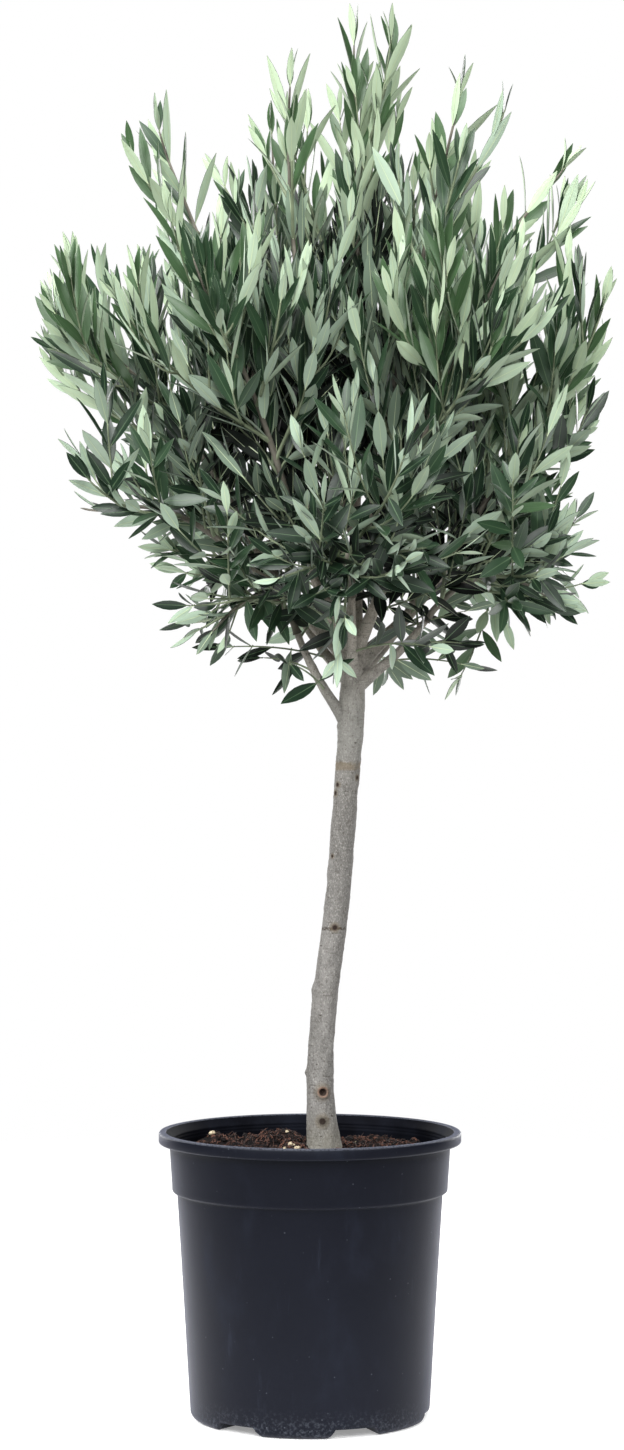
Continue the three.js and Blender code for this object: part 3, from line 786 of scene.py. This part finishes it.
class Shader:
    """One material and its nodes. Patterns read Object coordinates, in metres."""

    def __init__(self, name, **plain):
        self.material = bpy.data.materials.new(name)
        self.material.use_nodes = True
        self.tree = self.material.node_tree
        self.surface = self.tree.nodes["Principled BSDF"]
        self.coordinates = None
        self.set(**plain)

    def set(self, **values):
        """Socket values by name, with spaces written as underscores."""
        for name, value in values.items():
            self.feed(self.surface.inputs[name.replace("_", " ")], value)

    def node(self, kind, values, output=0, **settings):
        """A node with its settings and then its sockets; gives one of its outputs."""
        node = self.tree.nodes.new("ShaderNode" + kind)
        for name, value in settings.items():
            setattr(node, name, value)
        for name, value in values.items():
            self.feed(node.inputs[name], value)
        return Socket(self, node.outputs[output])

    def feed(self, socket, value):
        if isinstance(value, Socket):
            self.tree.links.new(value.output, socket)
        elif isinstance(value, tuple) and len(value) == 3 and socket.type == "RGBA":
            socket.default_value = (*value, 1)
        else:
            socket.default_value = value

    def place(self):
        """Object coordinates, from one node."""
        if self.coordinates is None:
            self.coordinates = self.node("TexCoord", {}, "Object")
        return self.coordinates

    def at(self, scale=(1, 1, 1)):
        """Where on the piece, stretched along each axis."""
        return self.node("Mapping", {"Vector": self.place(), "Scale": scale})

    def noise(self, scale, detail=4.0, roughness=0.55, stretch=(1, 1, 1)):
        return self.node("TexNoise", {
            "Vector": self.at(stretch), "Scale": scale, "Detail": detail,
            "Roughness": roughness,
        }, "Fac")

    def cells(self, scale, stretch=(1, 1, 1)):
        """Distance to the nearest of scattered points, and a random number for each."""
        values = {"Vector": self.at(stretch), "Scale": scale}
        near = self.node("TexVoronoi", values, "Distance")
        tint = Socket(self, near.output.node.outputs["Color"])
        return near, self.node("SeparateColor", {0: tint})

    def height(self):
        return self.node("SeparateXYZ", {0: self.place()}, "Z")

    def near(self, centre):
        """Distance from a point, in metres."""
        values = {0: self.at(), 1: centre}
        return self.node("VectorMath", values, "Value", operation="DISTANCE")

    def paint(self, ground, *coats):
        """The base colour: a ground, then each coat's colour mixed in by its share."""
        base = colour(ground)
        for tint, share in coats:
            values = {0: share, 6: base, 7: colour(tint)}
            base = self.node("Mix", values, 2, data_type="RGBA")
        self.set(Base_Color=base)

    def done(self, roughness, relief=None, depth=0.0, strength=1.0):
        """The material, once its roughness and its relief, in metres, are set."""
        self.set(Roughness=roughness)
        if relief is not None:
            values = {"Height": relief, "Distance": depth, "Strength": strength}
            self.set(Normal=self.node("Bump", values, "Normal"))
        return self.material


def colour(hex_code):
    """A screen colour as linear light."""
    channels = [(hex_code >> shift & 255) / 255 for shift in (16, 8, 0)]
    return tuple(c / 12.92 if c <= 0.04045 else ((c + 0.055) / 1.055) ** 2.4 for c in channels)


# Kinds of knot on the trunk: how far its edge rises, how deep its core sinks, its tint.
KNOT_KINDS = {
    "hollow": (1.3, 3.2, 0x7C6253), "shut": (1.0, 0.8, 0x4F4A42),
    "scar": (0.35, 0.6, 0x453A30), "bump": (1.3, 0, None),
}
# Knots and scars: height, bearing round the axis, size, and kind.
KNOTS = [
    (257.5, 281, 5.0, "hollow"), (234.6, 273, 4.2, "shut"), (339.0, 184, 5.0, "bump"),
    (387.5, 272, 3.0, "scar"), (500.7, 222, 2.2, "scar"), (494.0, 209, 2.4, "scar"),
    (506.3, 326, 2.2, "scar"), (444.0, 224, 1.6, "scar"), (272.0, 178, 2.2, "bump"),
    (420.0, 80, 4.0, "hollow"), (330.0, 40, 3.4, "shut"), (520.0, 30, 3.6, "bump"),
]


def trunk_axis(height):
    """How far the trunk's axis stands to the right and back, and its radius, at a height."""
    axis = trunk_path.points
    share = np.interp(height, axis[:, 2], trunk_path.run / trunk_path.length)
    right, back = (np.interp(height, axis[:, 2], axis[:, k]) for k in (0, 1))
    return right, back, trunk_radius(np.maximum(height, TRUNK_FOOT), share)


def on_trunk(height, bearing):
    """The point of the trunk's side at a height and a bearing."""
    right, back, radius = trunk_axis(height)
    x, y = (radius * turn(math.radians(bearing)) for turn in (math.cos, math.sin))
    return np.array([right + x, back + y, height])


def pot_inside():
    """The same plastic within, where it is dull with damp earth."""
    shader = Shader("pot_inside", IOR=1.45, Specular_IOR_Level=0.04)
    cloud = shader.noise(30, 4)
    shader.paint(0x0A0B10, (0x13151C, cloud.step(0.35, 0.7)))
    return shader.done(cloud * 0.2 + 0.62, shader.noise(300, 3), 0.0003, 0.3)


def pot_plastic():
    """Blue-black, with clouds of haze, faint specks, a worn lip whose paler top is partly a
    painted highlight, and a dusty foot.
    """
    shader = Shader(
        "pot_plastic", IOR=1.45, Specular_IOR_Level=0.15, Specular_Tint=(0.82, 0.88, 1.0),
        Sheen_Weight=0.08, Sheen_Roughness=0.4, Sheen_Tint=(0.6, 0.64, 1.0),
    )
    cloud = shader.noise(7, 3)
    fine = shader.noise(900, 3)
    speck, chance = shader.cells(210)
    dots = speck.step(0.15, 0.08) * chance.step(0.86, 0.92)
    height = shader.height()
    dust = height.step(0.026, 0.002) * shader.noise(380, 5, 0.7).step(0.45, 0.75)
    haze = shader.noise(26, 5, 0.6, (1, 1, 0.5)).step(0.5, 0.85)
    scuff = shader.noise(90, 4, 0.7, (1, 1, 0.12)).step(0.6, 0.78)
    # The top of the lip is paler: partly wear, partly a painted highlight along its edge.
    rim = height.step(0.2245, 0.2256)
    shader.paint(
        0x08090F, (0x0E1019, cloud), (0x202532, haze * 0.35), (0x2C313E, scuff * 0.25),
        (0x555962, dust * 0.5), (0x5A5E66, dots * 0.35),
        (0x565962, rim * fine.step(0.3, 0.6) * 0.75),
    )
    roughness = cloud * 0.16 + 0.38 + dust * 0.2 + haze * 0.08 + rim * 0.2
    relief = fine * 0.6 + shader.noise(60, 2) * 0.8 + dust * 0.8
    return shader.done(roughness, relief, 0.0002, 0.35)


def compost_earth():
    shader = Shader("compost_earth", Specular_IOR_Level=0.25)
    clods = shader.noise(160, 6, 0.65)
    crumbs, chance = shader.cells(420)
    light = chance.step(0.86, 0.97) * 0.8
    shader.paint(0x080506, (0x281A17, clods.step(0.42, 0.74)), (0x5C3E34, light))
    return shader.done(clods * 0.15 + 0.85, clods + crumbs * 0.8, 0.0025, 0.9)


def grained(name, gloss, noise, dark, pale, low, high, depth):
    """Two tints by one noise, which is its roughness and its relief as well."""
    shader = Shader(name, Specular_IOR_Level=gloss)
    grain = shader.noise(*noise)
    shader.paint(dark, (pale, grain.step(low, high)))
    return shader.done(grain * 0.2 + 0.7, grain if depth else None, depth, 0.6)


def compost_fibre():
    return grained("compost_fibre", 0.3, (240, 3), 0x140B0A, 0x6E4A3C, 0.42, 0.75, 0)


def pale_stone():
    return grained("pale_stone", 0.35, (700, 4), 0x7E6F57, 0xC6B99E, 0.3, 0.65, 0.0006)


def knot_coats(shader, grain):
    """For each open knot or scar a pale stain, a ring of its tint and a dark core."""
    coats = []
    for height, bearing, size, kind in KNOTS:
        if kind == "bump":
            continue
        off = shader.near(tuple(on_trunk(height, bearing) * MM))
        stain = off.step(size * 1.9 * MM, size * 1.0 * MM)
        ring = off.step(size * 1.05 * MM, size * 0.8 * MM) * grain.step(0.3, 0.5)
        core = off.step(size * 0.74 * MM, size * 0.5 * MM)
        tint = KNOT_KINDS[kind][2]
        coats += [(0x5F5545, stain * 0.5), (tint, ring * 0.8), (0x1E120B, core * 0.95)]
    return coats


def olive_bark():
    """Grey with fine upright streaks, pale and dark flecks, marks and stained knots."""
    shader = Shader("olive_bark", Specular_IOR_Level=0.3)
    broad = shader.noise(26, 4, 0.55, (1, 1, 0.35))
    streak = shader.noise(230, 5, 0.65, (1, 1, 0.3))
    grain = shader.noise(1000, 4, 0.7, (1, 1, 0.6))
    fleck = shader.noise(430, 3, 0.6)
    wrinkle = shader.noise(300, 4, 0.6, (0.25, 0.25, 2.2))
    dot, chance = shader.cells(520, (1, 1, 0.8))
    pores = dot.step(0.34, 0.14) * chance.step(0.4, 0.55)
    mark, rare = shader.cells(110, (1, 1, 1.7))
    marks = mark.step(0.15, 0.07) * rare.step(0.8, 0.85)
    height = shader.height()
    foot = height.step(0.250, 0.214) * broad.step(0.3, 0.65)
    band = abs(height - 0.5152 + broad * 0.004 - 0.002).step(0.0044, 0.0022)
    band = band * shader.noise(90, 2).step(0.36, 0.56)
    line = abs(height - 0.3885 + broad * 0.004).step(0.0017, 0.0006)
    shader.paint(
        0x5C5A57, (0x7D7B78, broad.step(0.3, 0.7)),
        (0x8E8B84, height.step(0.42, 0.66) * 0.45),
        (0xA69C8B, height.step(0.54, 0.68) * 0.6),
        (0x484541, streak.step(0.5, 0.72) * 0.5),
        (0xB0ADA8, grain.step(0.5, 0.68) * 0.45),
        (0x403C37, grain.step(0.46, 0.34) * 0.4),
        (0x45413B, wrinkle.step(0.56, 0.7) * 0.45),
        (0x98958C, fleck.step(0.6, 0.7) * 0.12),
        (0x71726C, shader.noise(16, 2).step(0.5, 0.75) * 0.3),
        (0x4A4035, pores * 0.5), (0x30261E, marks * 0.75), (0x645F4C, foot * 0.4),
        (0x655844, band * 0.6), (0x2E251C, line * fleck.step(0.42, 0.5) * 0.9),
        *knot_coats(shader, grain),
    )
    relief = streak * 0.6 + grain * 0.5 + wrinkle * -0.6 + pores * -0.6 + marks * -0.8
    return shader.done(streak * 0.15 + 0.75, relief, 0.0009, 0.8)


def twig_bark(name, dark, pale, roughness):
    shader = Shader(name, Specular_IOR_Level=0.35)
    patch = shader.noise(45, 3)
    grain = shader.noise(600, 3, stretch=(1, 1, 0.4))
    shader.paint(dark, (pale, patch.step(0.3, 0.7)), (dark, grain.step(0.5, 0.8) * 0.5))
    return shader.done(grain * 0.15 + roughness, grain, 0.0003, 0.5)


# The darkest greens, near black on the under side as well, are painted shade for leaves within
# the crown; the palest are partly painted light.
UPPER_GREENS = (0x050907, 0x0D1710, 0x182A1C, 0x283F2A, 0x3D5738)
UPPER_GLOSS = (0.2, 0.3, 0.45, 0.5, 0.5)
UNDER_GREENS = (0x161D18, 0x738573, 0xA0B49F, 0xA8BCA2, 0xAEC1A3)
LEAF_COLOURS = [  # name, tint, roughness, sheen and gloss, in the order of the shades
    *((f"leaf_upper_{i}", tint, 0.36, 0.0, gloss)
      for i, (tint, gloss) in enumerate(zip(UPPER_GREENS, UPPER_GLOSS))),
    *((f"leaf_under_{i}", tint, 0.62, 0.15 if i else 0.0, 0.4 if i else 0.2)
      for i, tint in enumerate(UNDER_GREENS)),
    ("midrib_upper", 0x4C6347, 0.5, 0.0, 0.5), ("midrib_under", 0xBCCBA6, 0.5, 0.0, 0.5),
    ("leaf_dead", 0x6F5831, 0.7, 0.0, 0.5),
]


def plain_leaf(name, tint, roughness, sheen, gloss):
    """One of the plain colours that are dealt out by spray."""
    return Shader(
        name, Base_Color=colour(tint), Roughness=roughness, IOR=1.45, Sheen_Weight=sheen,
        Sheen_Roughness=0.4, Specular_IOR_Level=gloss,
    ).material


# ---- pot

def arc(x, y, radius, start, end, count):
    """Points round part of a circle in the pot's section."""
    angle = np.radians(np.linspace(start, end, count))
    return [(x + radius * math.cos(a), y + radius * math.sin(a)) for a in angle]


def slope(foot, top, shares):
    """Points on the straight line from foot to top."""
    return [tuple(lerp(np.array(foot), np.array(top), t)) for t in shares]


def pot_section():
    """Half of the pot's section, from under the floor, up, over the lip and down inside."""
    rim, top, wall, floor = POT.rim_radius, POT.height, POT.wall, POT.floor
    lip_foot, band_foot = top - POT.lip_height, POT.band_foot
    low, high = POT.body_foot_radius, POT.body_top_radius
    band_low, band_high = POT.band_foot_radius, POT.band_top_radius
    body = slope((low, CORNER), (high, band_foot - 2.6), np.linspace(0.02, 1, 16))
    body.insert(-1, (high - 0.05, band_foot - 3.8))
    inner_top = band_high - wall
    ridges = [(inner_top + 0.9, 221.4)]
    for height in INNER_RIDGES:
        for out, up in (0.1, 0.9), (-0.75, 0), (0.1, -0.9):
            ridges.append((inner_top + out, height + up))
    return np.array([
        *[(r, 0) for r in np.linspace(0, POT.foot_radius, 46)],
        *arc(POT.foot_radius, CORNER, CORNER, -78, -8, 8),
        *body, (high + 0.3, band_foot - 1.9), (high + 1, band_foot - 1.6),
        *arc(band_low - 1.6, band_foot + 0.2, 1.6, -80, 0, 6),
        *slope((band_low, band_foot + 2), (band_high, lip_foot - 1), np.linspace(0.05, 1, 8)),
        (band_high + 0.1, lip_foot - 0.6), (rim - 7.6, lip_foot - 0.4), (rim - 4, lip_foot),
        *arc(rim - 1.6, lip_foot + 1.6, 1.6, -80, 0, 5),
        *arc(rim - 2.2, top - 2.2, 2.2, 6, 86, 6),
        *arc(rim - POT.lip_width + 1.4, top - 1.4, 1.4, 92, 172, 5),
        *ridges, (band_low - wall, band_foot + 2), (high - wall, band_foot - 2),
        (low - wall, floor), *[(r, floor) for r in np.linspace(84, 0, 30)],
    ])


def notch_height(x, y):
    """How far a notch lifts the underside: its sides slope, and its inner end is round."""
    lift = np.zeros_like(x)
    for i in range(NOTCH.count):
        bearing = math.radians(NOTCH.first_bearing + 360 * i / NOTCH.count)
        along = x * math.cos(bearing) + y * math.sin(bearing)
        off = np.abs(y * math.cos(bearing) - x * math.sin(bearing))
        side = (NOTCH.foot_width / 2 - off) / (NOTCH.foot_width - NOTCH.roof_width) * 2
        own = np.clip(side, 0, 1) * np.clip((along - NOTCH.inner_radius) / 2, 0, 1)
        lift = np.maximum(lift, own * NOTCH.height)
        lift[np.hypot(along - NOTCH.hole_reach, off) < NOTCH.hole_radius] = POT.floor
    return lift


def make_pot():
    """The section turned about the axis, with the lower corners lifted by the notches."""
    section = pot_section()
    x, y = turned(section[:, :1], POT_SEGMENTS)
    lift = notch_height(x, y)
    z = np.repeat(section[:, 1:], POT_SEGMENTS, axis=1)
    outer = np.arange(len(section))[:, None] < OUTER_ROWS
    z = np.where(outer, np.maximum(z, lift), z)
    holes = (lift == POT.floor) & (z == POT.floor)
    sag = 0.25 * np.cos(2 * np.arctan2(y, x) + 0.6) * smooth(90, 226, z) * (z < 216)
    stretch = 1 + sag / np.maximum(np.hypot(x, y), 1)
    faces = grid_quads(len(section), POT_SEGMENTS, closed=True)
    faces = faces[~holes.ravel()[faces].all(axis=1)]
    inside = faces[:, 0] // POT_SEGMENTS > np.argmax(section[:, 1]) + 2
    corners = corner_list(x * stretch, y * stretch, z)
    piece = add_piece("pot_shell", corners, faces, [pot_plastic(), pot_inside()], inside)
    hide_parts("pot")


# ---- compost

def waves(x, y, rng, scale, count=24):
    """A sum of level waves of random direction, of about one wavelength."""
    total = np.zeros(np.broadcast(x, y).shape)
    for _ in range(count):
        angle, phase = rng.uniform(0, TAU), rng.uniform(0, TAU)
        length = scale * rng.uniform(0.6, 1.7)
        total += np.sin((x * math.cos(angle) + y * math.sin(angle)) * TAU / length + phase)
    return total / math.sqrt(count)


def compost_height(x, y):
    """Level at the wall, higher round the trunk and in three heaps, with lumps."""
    rng = np.random.default_rng(7)
    reach = np.hypot(x, y)
    mound = COMPOST.mound * (1 - smooth(10, 100, reach))
    heaped = sum(
        rise * np.exp(-(((x - right) / wide) ** 2 + ((y - back) / deep) ** 2))
        for right, back, wide, deep, rise in HEAPS
    )
    clods = 1.6 * waves(x, y, rng, 26) + 1.3 * waves(x, y, rng, 9) + 0.6 * waves(x, y, rng, 4)
    return COMPOST.top + mound + heaped + clods - 1.5 * smooth(86, 106, reach)


def make_compost():
    """A lumpy bed with a straight side and underside below it."""
    clear = POT.wall + COMPOST.clearance
    brim = POT.band_foot_radius - clear
    rings, segments = 92, 260
    x, y = turned(brim * np.sqrt(np.linspace(0.0004, 1, rings))[:, None], segments)
    side = np.array([
        (brim, 186), (POT.body_top_radius - clear, 178),
        (POT.body_foot_radius - clear, 8.3), (1, 8.3),
    ])
    side_x, side_y = turned(side[:, :1], segments)
    z = np.vstack([compost_height(x, y), np.repeat(side[:, 1:], segments, axis=1)])
    corners = corner_list(np.vstack([x, side_x]), np.vstack([y, side_y]), z)
    faces = grid_quads(rings + len(side), segments, closed=True)[:, ::-1]
    piece = add_piece("compost_bed", corners, faces, [compost_earth()])
    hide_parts("compost")


def scattered(rng, count, reach=100):
    """Even places on the bed, clear of the trunk's foot."""
    radius = reach * np.sqrt(rng.random(count))
    angle = rng.uniform(0, TAU, count)
    x, y = radius * np.cos(angle), radius * np.sin(angle)
    keep = np.hypot(x - SWAY[0][1], y) > 17
    return x[keep], y[keep]


def make_fibres():
    """Short bent strands of peat and bark that lie on the bed."""
    rng = np.random.default_rng(11)
    x, y = scattered(rng, 1500)
    count = len(x)
    t = np.linspace(-0.5, 0.5, 7)
    angle = rng.uniform(0, TAU, count)[:, None]
    run = rng.uniform(4, 15, count)[:, None] * t
    heading = angle + rng.normal(0, 0.9, count)[:, None] * t
    x, y = x[:, None] + run * np.cos(heading), y[:, None] + run * np.sin(heading)
    tilt = np.abs(rng.normal(0, 0.22, count)[:, None] * run)
    z = compost_height(x, y) + 0.4 + tilt + rng.uniform(0, 1.2, count)[:, None]
    inside = np.hypot(x, y).max(axis=1) < 103
    thick = rng.uniform(0.25, 0.75, count)[inside, None] * (1 - 0.6 * np.abs(2 * t)) + 0.05
    corners, faces = tubes(np.stack([x, y, z], -1)[inside], thick, 5)
    piece = add_piece("compost_fibres", corners, faces, [compost_fibre()])


def add_lumps(name, x, y, sizes, sunk, squash, rng, material):
    """Rounded lumps: rings of latitude whose radius swells and dips by a few waves."""
    rows, columns = 7, 9
    centres = np.stack([x, y, compost_height(x, y) + sizes * sunk], -1)
    up, turn = np.linspace(-math.pi / 2, math.pi / 2, rows)[:, None], around(columns)
    flat = np.cos(up)
    ball = corner_list(flat * np.cos(turn), flat * np.sin(turn), np.sin(up))
    ball = ball.reshape(rows, columns, 3)
    push = np.ones((len(centres), rows, columns))
    for _ in range(7):
        axis = unit(rng.normal(0, 1, (len(centres), 3)))
        phase = rng.uniform(0, TAU, (len(centres), 1, 1))
        push += 0.09 * np.sin(3.2 * np.einsum("rcx,nx->nrc", ball, axis) + phase)
    stretch = rng.uniform(0.75, 1.25, (len(centres), 1, 1, 3)) * [1, 1, squash]
    swollen = ball * push[..., None] * sizes[:, None, None, None] * stretch
    corners, faces = many(
        centres[:, None, None] + swollen, grid_quads(rows, columns, closed=True)
    )
    piece = add_piece(name, corners, faces, [material])


def make_stones():
    """Pale stones and grains of perlite, four of them by the trunk, then many crumbs."""
    rng = np.random.default_rng(5)
    placed_x, placed_y, placed_sizes = np.array(PLACED_STONES).T
    x, y = scattered(rng, 26, 94)
    sizes = np.append(placed_sizes, rng.uniform(0.8, 2.0, len(x)))
    x, y = np.append(placed_x, x), np.append(placed_y, y)
    add_lumps("compost_stones", x, y, sizes, 0.35, 0.7, rng, pale_stone())
    x, y = scattered(rng, 700, 102)
    sizes = rng.uniform(0.8, 3.4, len(x)) * rng.uniform(0.6, 1, len(x))
    add_lumps("compost_crumbs", x, y, sizes, 0.3, 0.8, rng, compost_earth())


# ---- bark

def bark_relief(turn, run, rng, size):
    """Long shallow furrows and cross grain: waves in the turn and along the limb."""
    total = np.zeros(np.broadcast(turn, run).shape)
    for count, turns, lengths, depth in RELIEF:
        for _ in range(count):
            n, length = rng.integers(*turns), rng.uniform(*lengths)
            way, phase = rng.choice([-1, 1]), rng.uniform(0, TAU)
            total += depth * np.sin(n * turn + run * TAU / length * way + phase)
    return total * size


def make_trunk():
    """Rings about the swaying axis; knots push the side out and sink its middle in."""
    rings, sides = 420, 72
    height = np.linspace(TRUNK_FOOT - 8, FORK + TRUNK_DOME, rings)[:, None]
    right, back, radius = trunk_axis(height)
    past = np.clip(height - FORK, 0, None) / (TRUNK_DOME + 0.01)
    dome = np.sqrt(np.clip(1 - past**2, 0, 1))
    turn = around(sides)
    push = bark_relief(turn, height, np.random.default_rng(3), 1.4)
    push += 1.1 * np.exp(-(height - TRUNK_FOOT) / 16) * np.cos(3 * turn + 0.5)
    for knot_height, bearing, size, kind in KNOTS:
        off_turn = (turn - math.radians(bearing) + math.pi) % TAU - math.pi
        off = np.hypot(off_turn * radius, height - knot_height) / size
        rise, depth, _ = KNOT_KINDS[kind]
        edge = -((off - 0.75) ** 2) / 0.16 if kind == "hollow" else -off * off
        push += rise * np.exp(edge)
        push -= depth * np.exp(-((off / 0.42) ** 2))
    collar = np.exp(-(((height - COLLAR_HEIGHT) / 2.2) ** 2)) * np.clip(-np.cos(turn), 0, 1)
    push += 0.9 * collar
    reach = (radius + push) * dome
    corners = corner_list(right + reach * np.cos(turn), back + reach * np.sin(turn), height)
    faces = grid_quads(rings, sides, closed=True)
    piece = add_piece("trunk_bark", corners, faces, [bark])
    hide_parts("trunk")


def make_boughs():
    """Tapering tubes that leave the trunk with a thick collar, with the same relief."""
    rings, sides = 64, 24
    shares = np.linspace(0, 1, rings)
    points = np.stack([paths[limb.name].at(shares) for limb in LIMBS])
    foot, length, parent = np.array([
        (limb.radius, paths[limb.name].length, 9.6 if limb.parent == "trunk" else 5.6)
        for limb in LIMBS
    ]).T[..., None]
    run = shares * length
    radii = lerp(foot, BOUGH.tip_radius, shares)
    radii = radii * (1 + 0.42 * np.exp(-np.clip(run - parent, 0, None) / 7))
    corners, faces = tubes(points, radii, sides)
    ring = corners.reshape(len(LIMBS), rings, sides, 3)
    relief = bark_relief(around(sides), run[:, :, None], np.random.default_rng(9), 0.8)
    ring = ring + unit(ring - points[:, :, None]) * relief[..., None]
    piece = add_piece("bough_bark", ring.reshape(-1, 3), faces, [bark])
    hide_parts(*[f"bough_{limb.name}" for limb in LIMBS])


# ---- crown

def tier_of(limb):
    first = limb.name.split("_")[0]
    return {"leader": "upper", "lowest": "lower"}.get(first, first)


def petioles(leaves):
    """A short stalk from the twig to the foot of each blade."""
    start = leaves.root - leaves.along * 1.2
    end = leaves.root + leaves.along * (leaves.length * 0.1)[:, None]
    shares = np.linspace(0, 1, 3)[None, :, None]
    points = start[:, None] * (1 - shares) + end[:, None] * shares
    radii = np.repeat(np.array([[0.6, 0.45, 0.3]]), len(start), axis=0)
    return tubes(points, radii, 4)


def grow_crown():
    """Every mass's sprays and leaves, by tier."""
    rng = np.random.default_rng(GROWTH_SEED)
    sprays = {tier: [] for tier in TIERS}
    for own, limb in enumerate(LIMBS):
        sprays[tier_of(limb)] += grow_mass(own, rng)
    leaves = {}
    for tier in TIERS:
        sets = [leaves_of(spray, rng) for spray in sprays[tier]]
        grown = fitting(Leaves(*(np.concatenate(fields) for fields in zip(*sets))))
        dead = rng.random(len(grown.shade)) < (DEAD_SHARE if tier == "lower" else 0)
        shrink = np.where(dead, DEAD_SIZE, 1)
        leaves[tier] = grown._replace(
            shade=np.where(dead, DEAD, grown.shade),
            length=grown.length * shrink, width=grown.width * shrink,
        )
    return sprays, leaves


def make_crown():
    """The twigs and the leaves of each tier, each kind joined into one piece."""
    sprays, leaves = grow_crown()
    greens = [plain_leaf(*look) for look in LEAF_COLOURS]
    wood = twig_bark("twig_grey", 0x4A463D, 0x78746A, 0.7)
    green = twig_bark("twig_green", 0x555F49, 0x808B70, 0.6)
    for tier in TIERS:
        here, limbs = sprays[tier], [limb for limb in LIMBS if tier_of(limb) == tier]
        grey = tube_set([s for s in here if s.order == 0], 40, 8)
        fine = stacked([
            tube_set([s for s in here if s.order == 1], 24, 6),
            tube_set([s for s in here if s.order > 1], 12, 5), petioles(leaves[tier]),
        ])
        corners, faces = stacked([grey, fine])
        which = np.repeat([0, 1], [len(grey[1]), len(fine[1])])
        twigs = add_piece(f"twigs_{tier}", corners, faces, [wood, green], which)
        corners, faces, which = leaf_parts(leaves[tier])
        piece = add_piece(f"leaves_{tier}", corners, faces, greens, which)
        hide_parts(*[f"foliage_{limb.name}" for limb in limbs])
        print(f"{tier}: {len(here)} twigs, {len(leaves[tier].root)} leaves")


# ---- studio

AMBIENT = 0.035
LIGHTS = [  # name, place, height of the point it faces, width, height and power
    ("overhead", (0.0, -0.2, 3.2), 0.6, 2.2, 2.2, 96),
    ("left", (-2.0, -1.9, 2.1), 1.0, 1.6, 1.8, 138),
    ("right", (2.0, -1.9, 2.1), 1.0, 1.6, 1.8, 62),
    ("front", (0.1, -3.4, 1.75), 0.95, 1.6, 1.2, 94),
    ("back_left", (-1.5, 2.6, 1.0), 0.7, 1.0, 1.8, 62),
    ("back_right", (1.5, 2.6, 1.0), 0.7, 1.0, 1.8, 62),
]


def make_floor():
    """A level disc, lit round the pot, that thins out into the plain white beyond."""
    rings, segments = 24, 96
    x, y = turned(2.2 / MM * np.linspace(0.001, 1, rings)[:, None] ** 2, segments)
    shader = Shader(
        "studio_floor", Base_Color=(0.92, 0.92, 0.92), Roughness=0.9, Specular_IOR_Level=0.2,
        Emission_Color=(1, 1, 1), Emission_Strength=0.3,
    )
    far = shader.near((0, 0.45, 0)).step(0.6, 1.4)
    near, clear = Socket(shader, shader.surface.outputs[0]), shader.node("BsdfTransparent", {})
    blend = shader.node("MixShader", {0: far, 1: near, 2: clear})
    shader.feed(shader.tree.nodes["Material Output"].inputs[0], blend)
    faces = grid_quads(rings, segments, closed=True)[:, ::-1]
    floor = add_mesh("studio_floor", corner_list(x, y, -0.2), faces, [shader.material])
    floor.data.shade_flat()


def add_light(name, place, aim, width, height, power):
    """A soft rectangular light that faces a point on the trunk's axis."""
    light = bpy.data.lights.new(name, "AREA")
    light.shape = "RECTANGLE"
    light.size, light.size_y = width, height
    light.energy = power
    lamp = placed(name, light)
    lamp.location = place
    lamp.rotation_mode = "QUATERNION"
    toward = Vector((0, 0, aim)) - Vector(place)
    lamp.rotation_quaternion = toward.to_track_quat("-Z", "Y")
    lamp.visible_camera = False


def make_studio():
    """The floor, the lights, and a world that is white to the camera and dim to the rest."""
    make_floor()
    bpy.context.scene.view_settings.view_transform = "Standard"
    world = bpy.data.worlds.new("studio")
    world.use_nodes = True
    nodes, links = world.node_tree.nodes, world.node_tree.links
    seen = nodes.new("ShaderNodeLightPath").outputs["Is Camera Ray"]
    strength = nodes.new("ShaderNodeMapRange")
    strength.inputs["To Min"].default_value = AMBIENT
    strength.inputs["To Max"].default_value = 1.0
    links.new(seen, strength.inputs["Value"])
    nodes["Background"].inputs[0].default_value = (1, 1, 1, 1)
    links.new(strength.outputs["Result"], nodes["Background"].inputs[1])
    bpy.context.scene.world = world
    for light in LIGHTS:
        add_light(*light)


def make_camera():
    data = bpy.data.cameras.new("view")
    data.lens = 83.8
    data.sensor_width = 36
    camera = placed("view", data)
    camera.location = (0.0016, -2.68, 0.548)
    camera.rotation_euler = (math.pi / 2, 0, 0)
    bpy.context.scene.camera = camera


make_camera()
make_studio()
bark = olive_bark()
make_pot()
make_compost()
make_fibres()
make_stones()
make_trunk()
make_boughs()
make_crown()
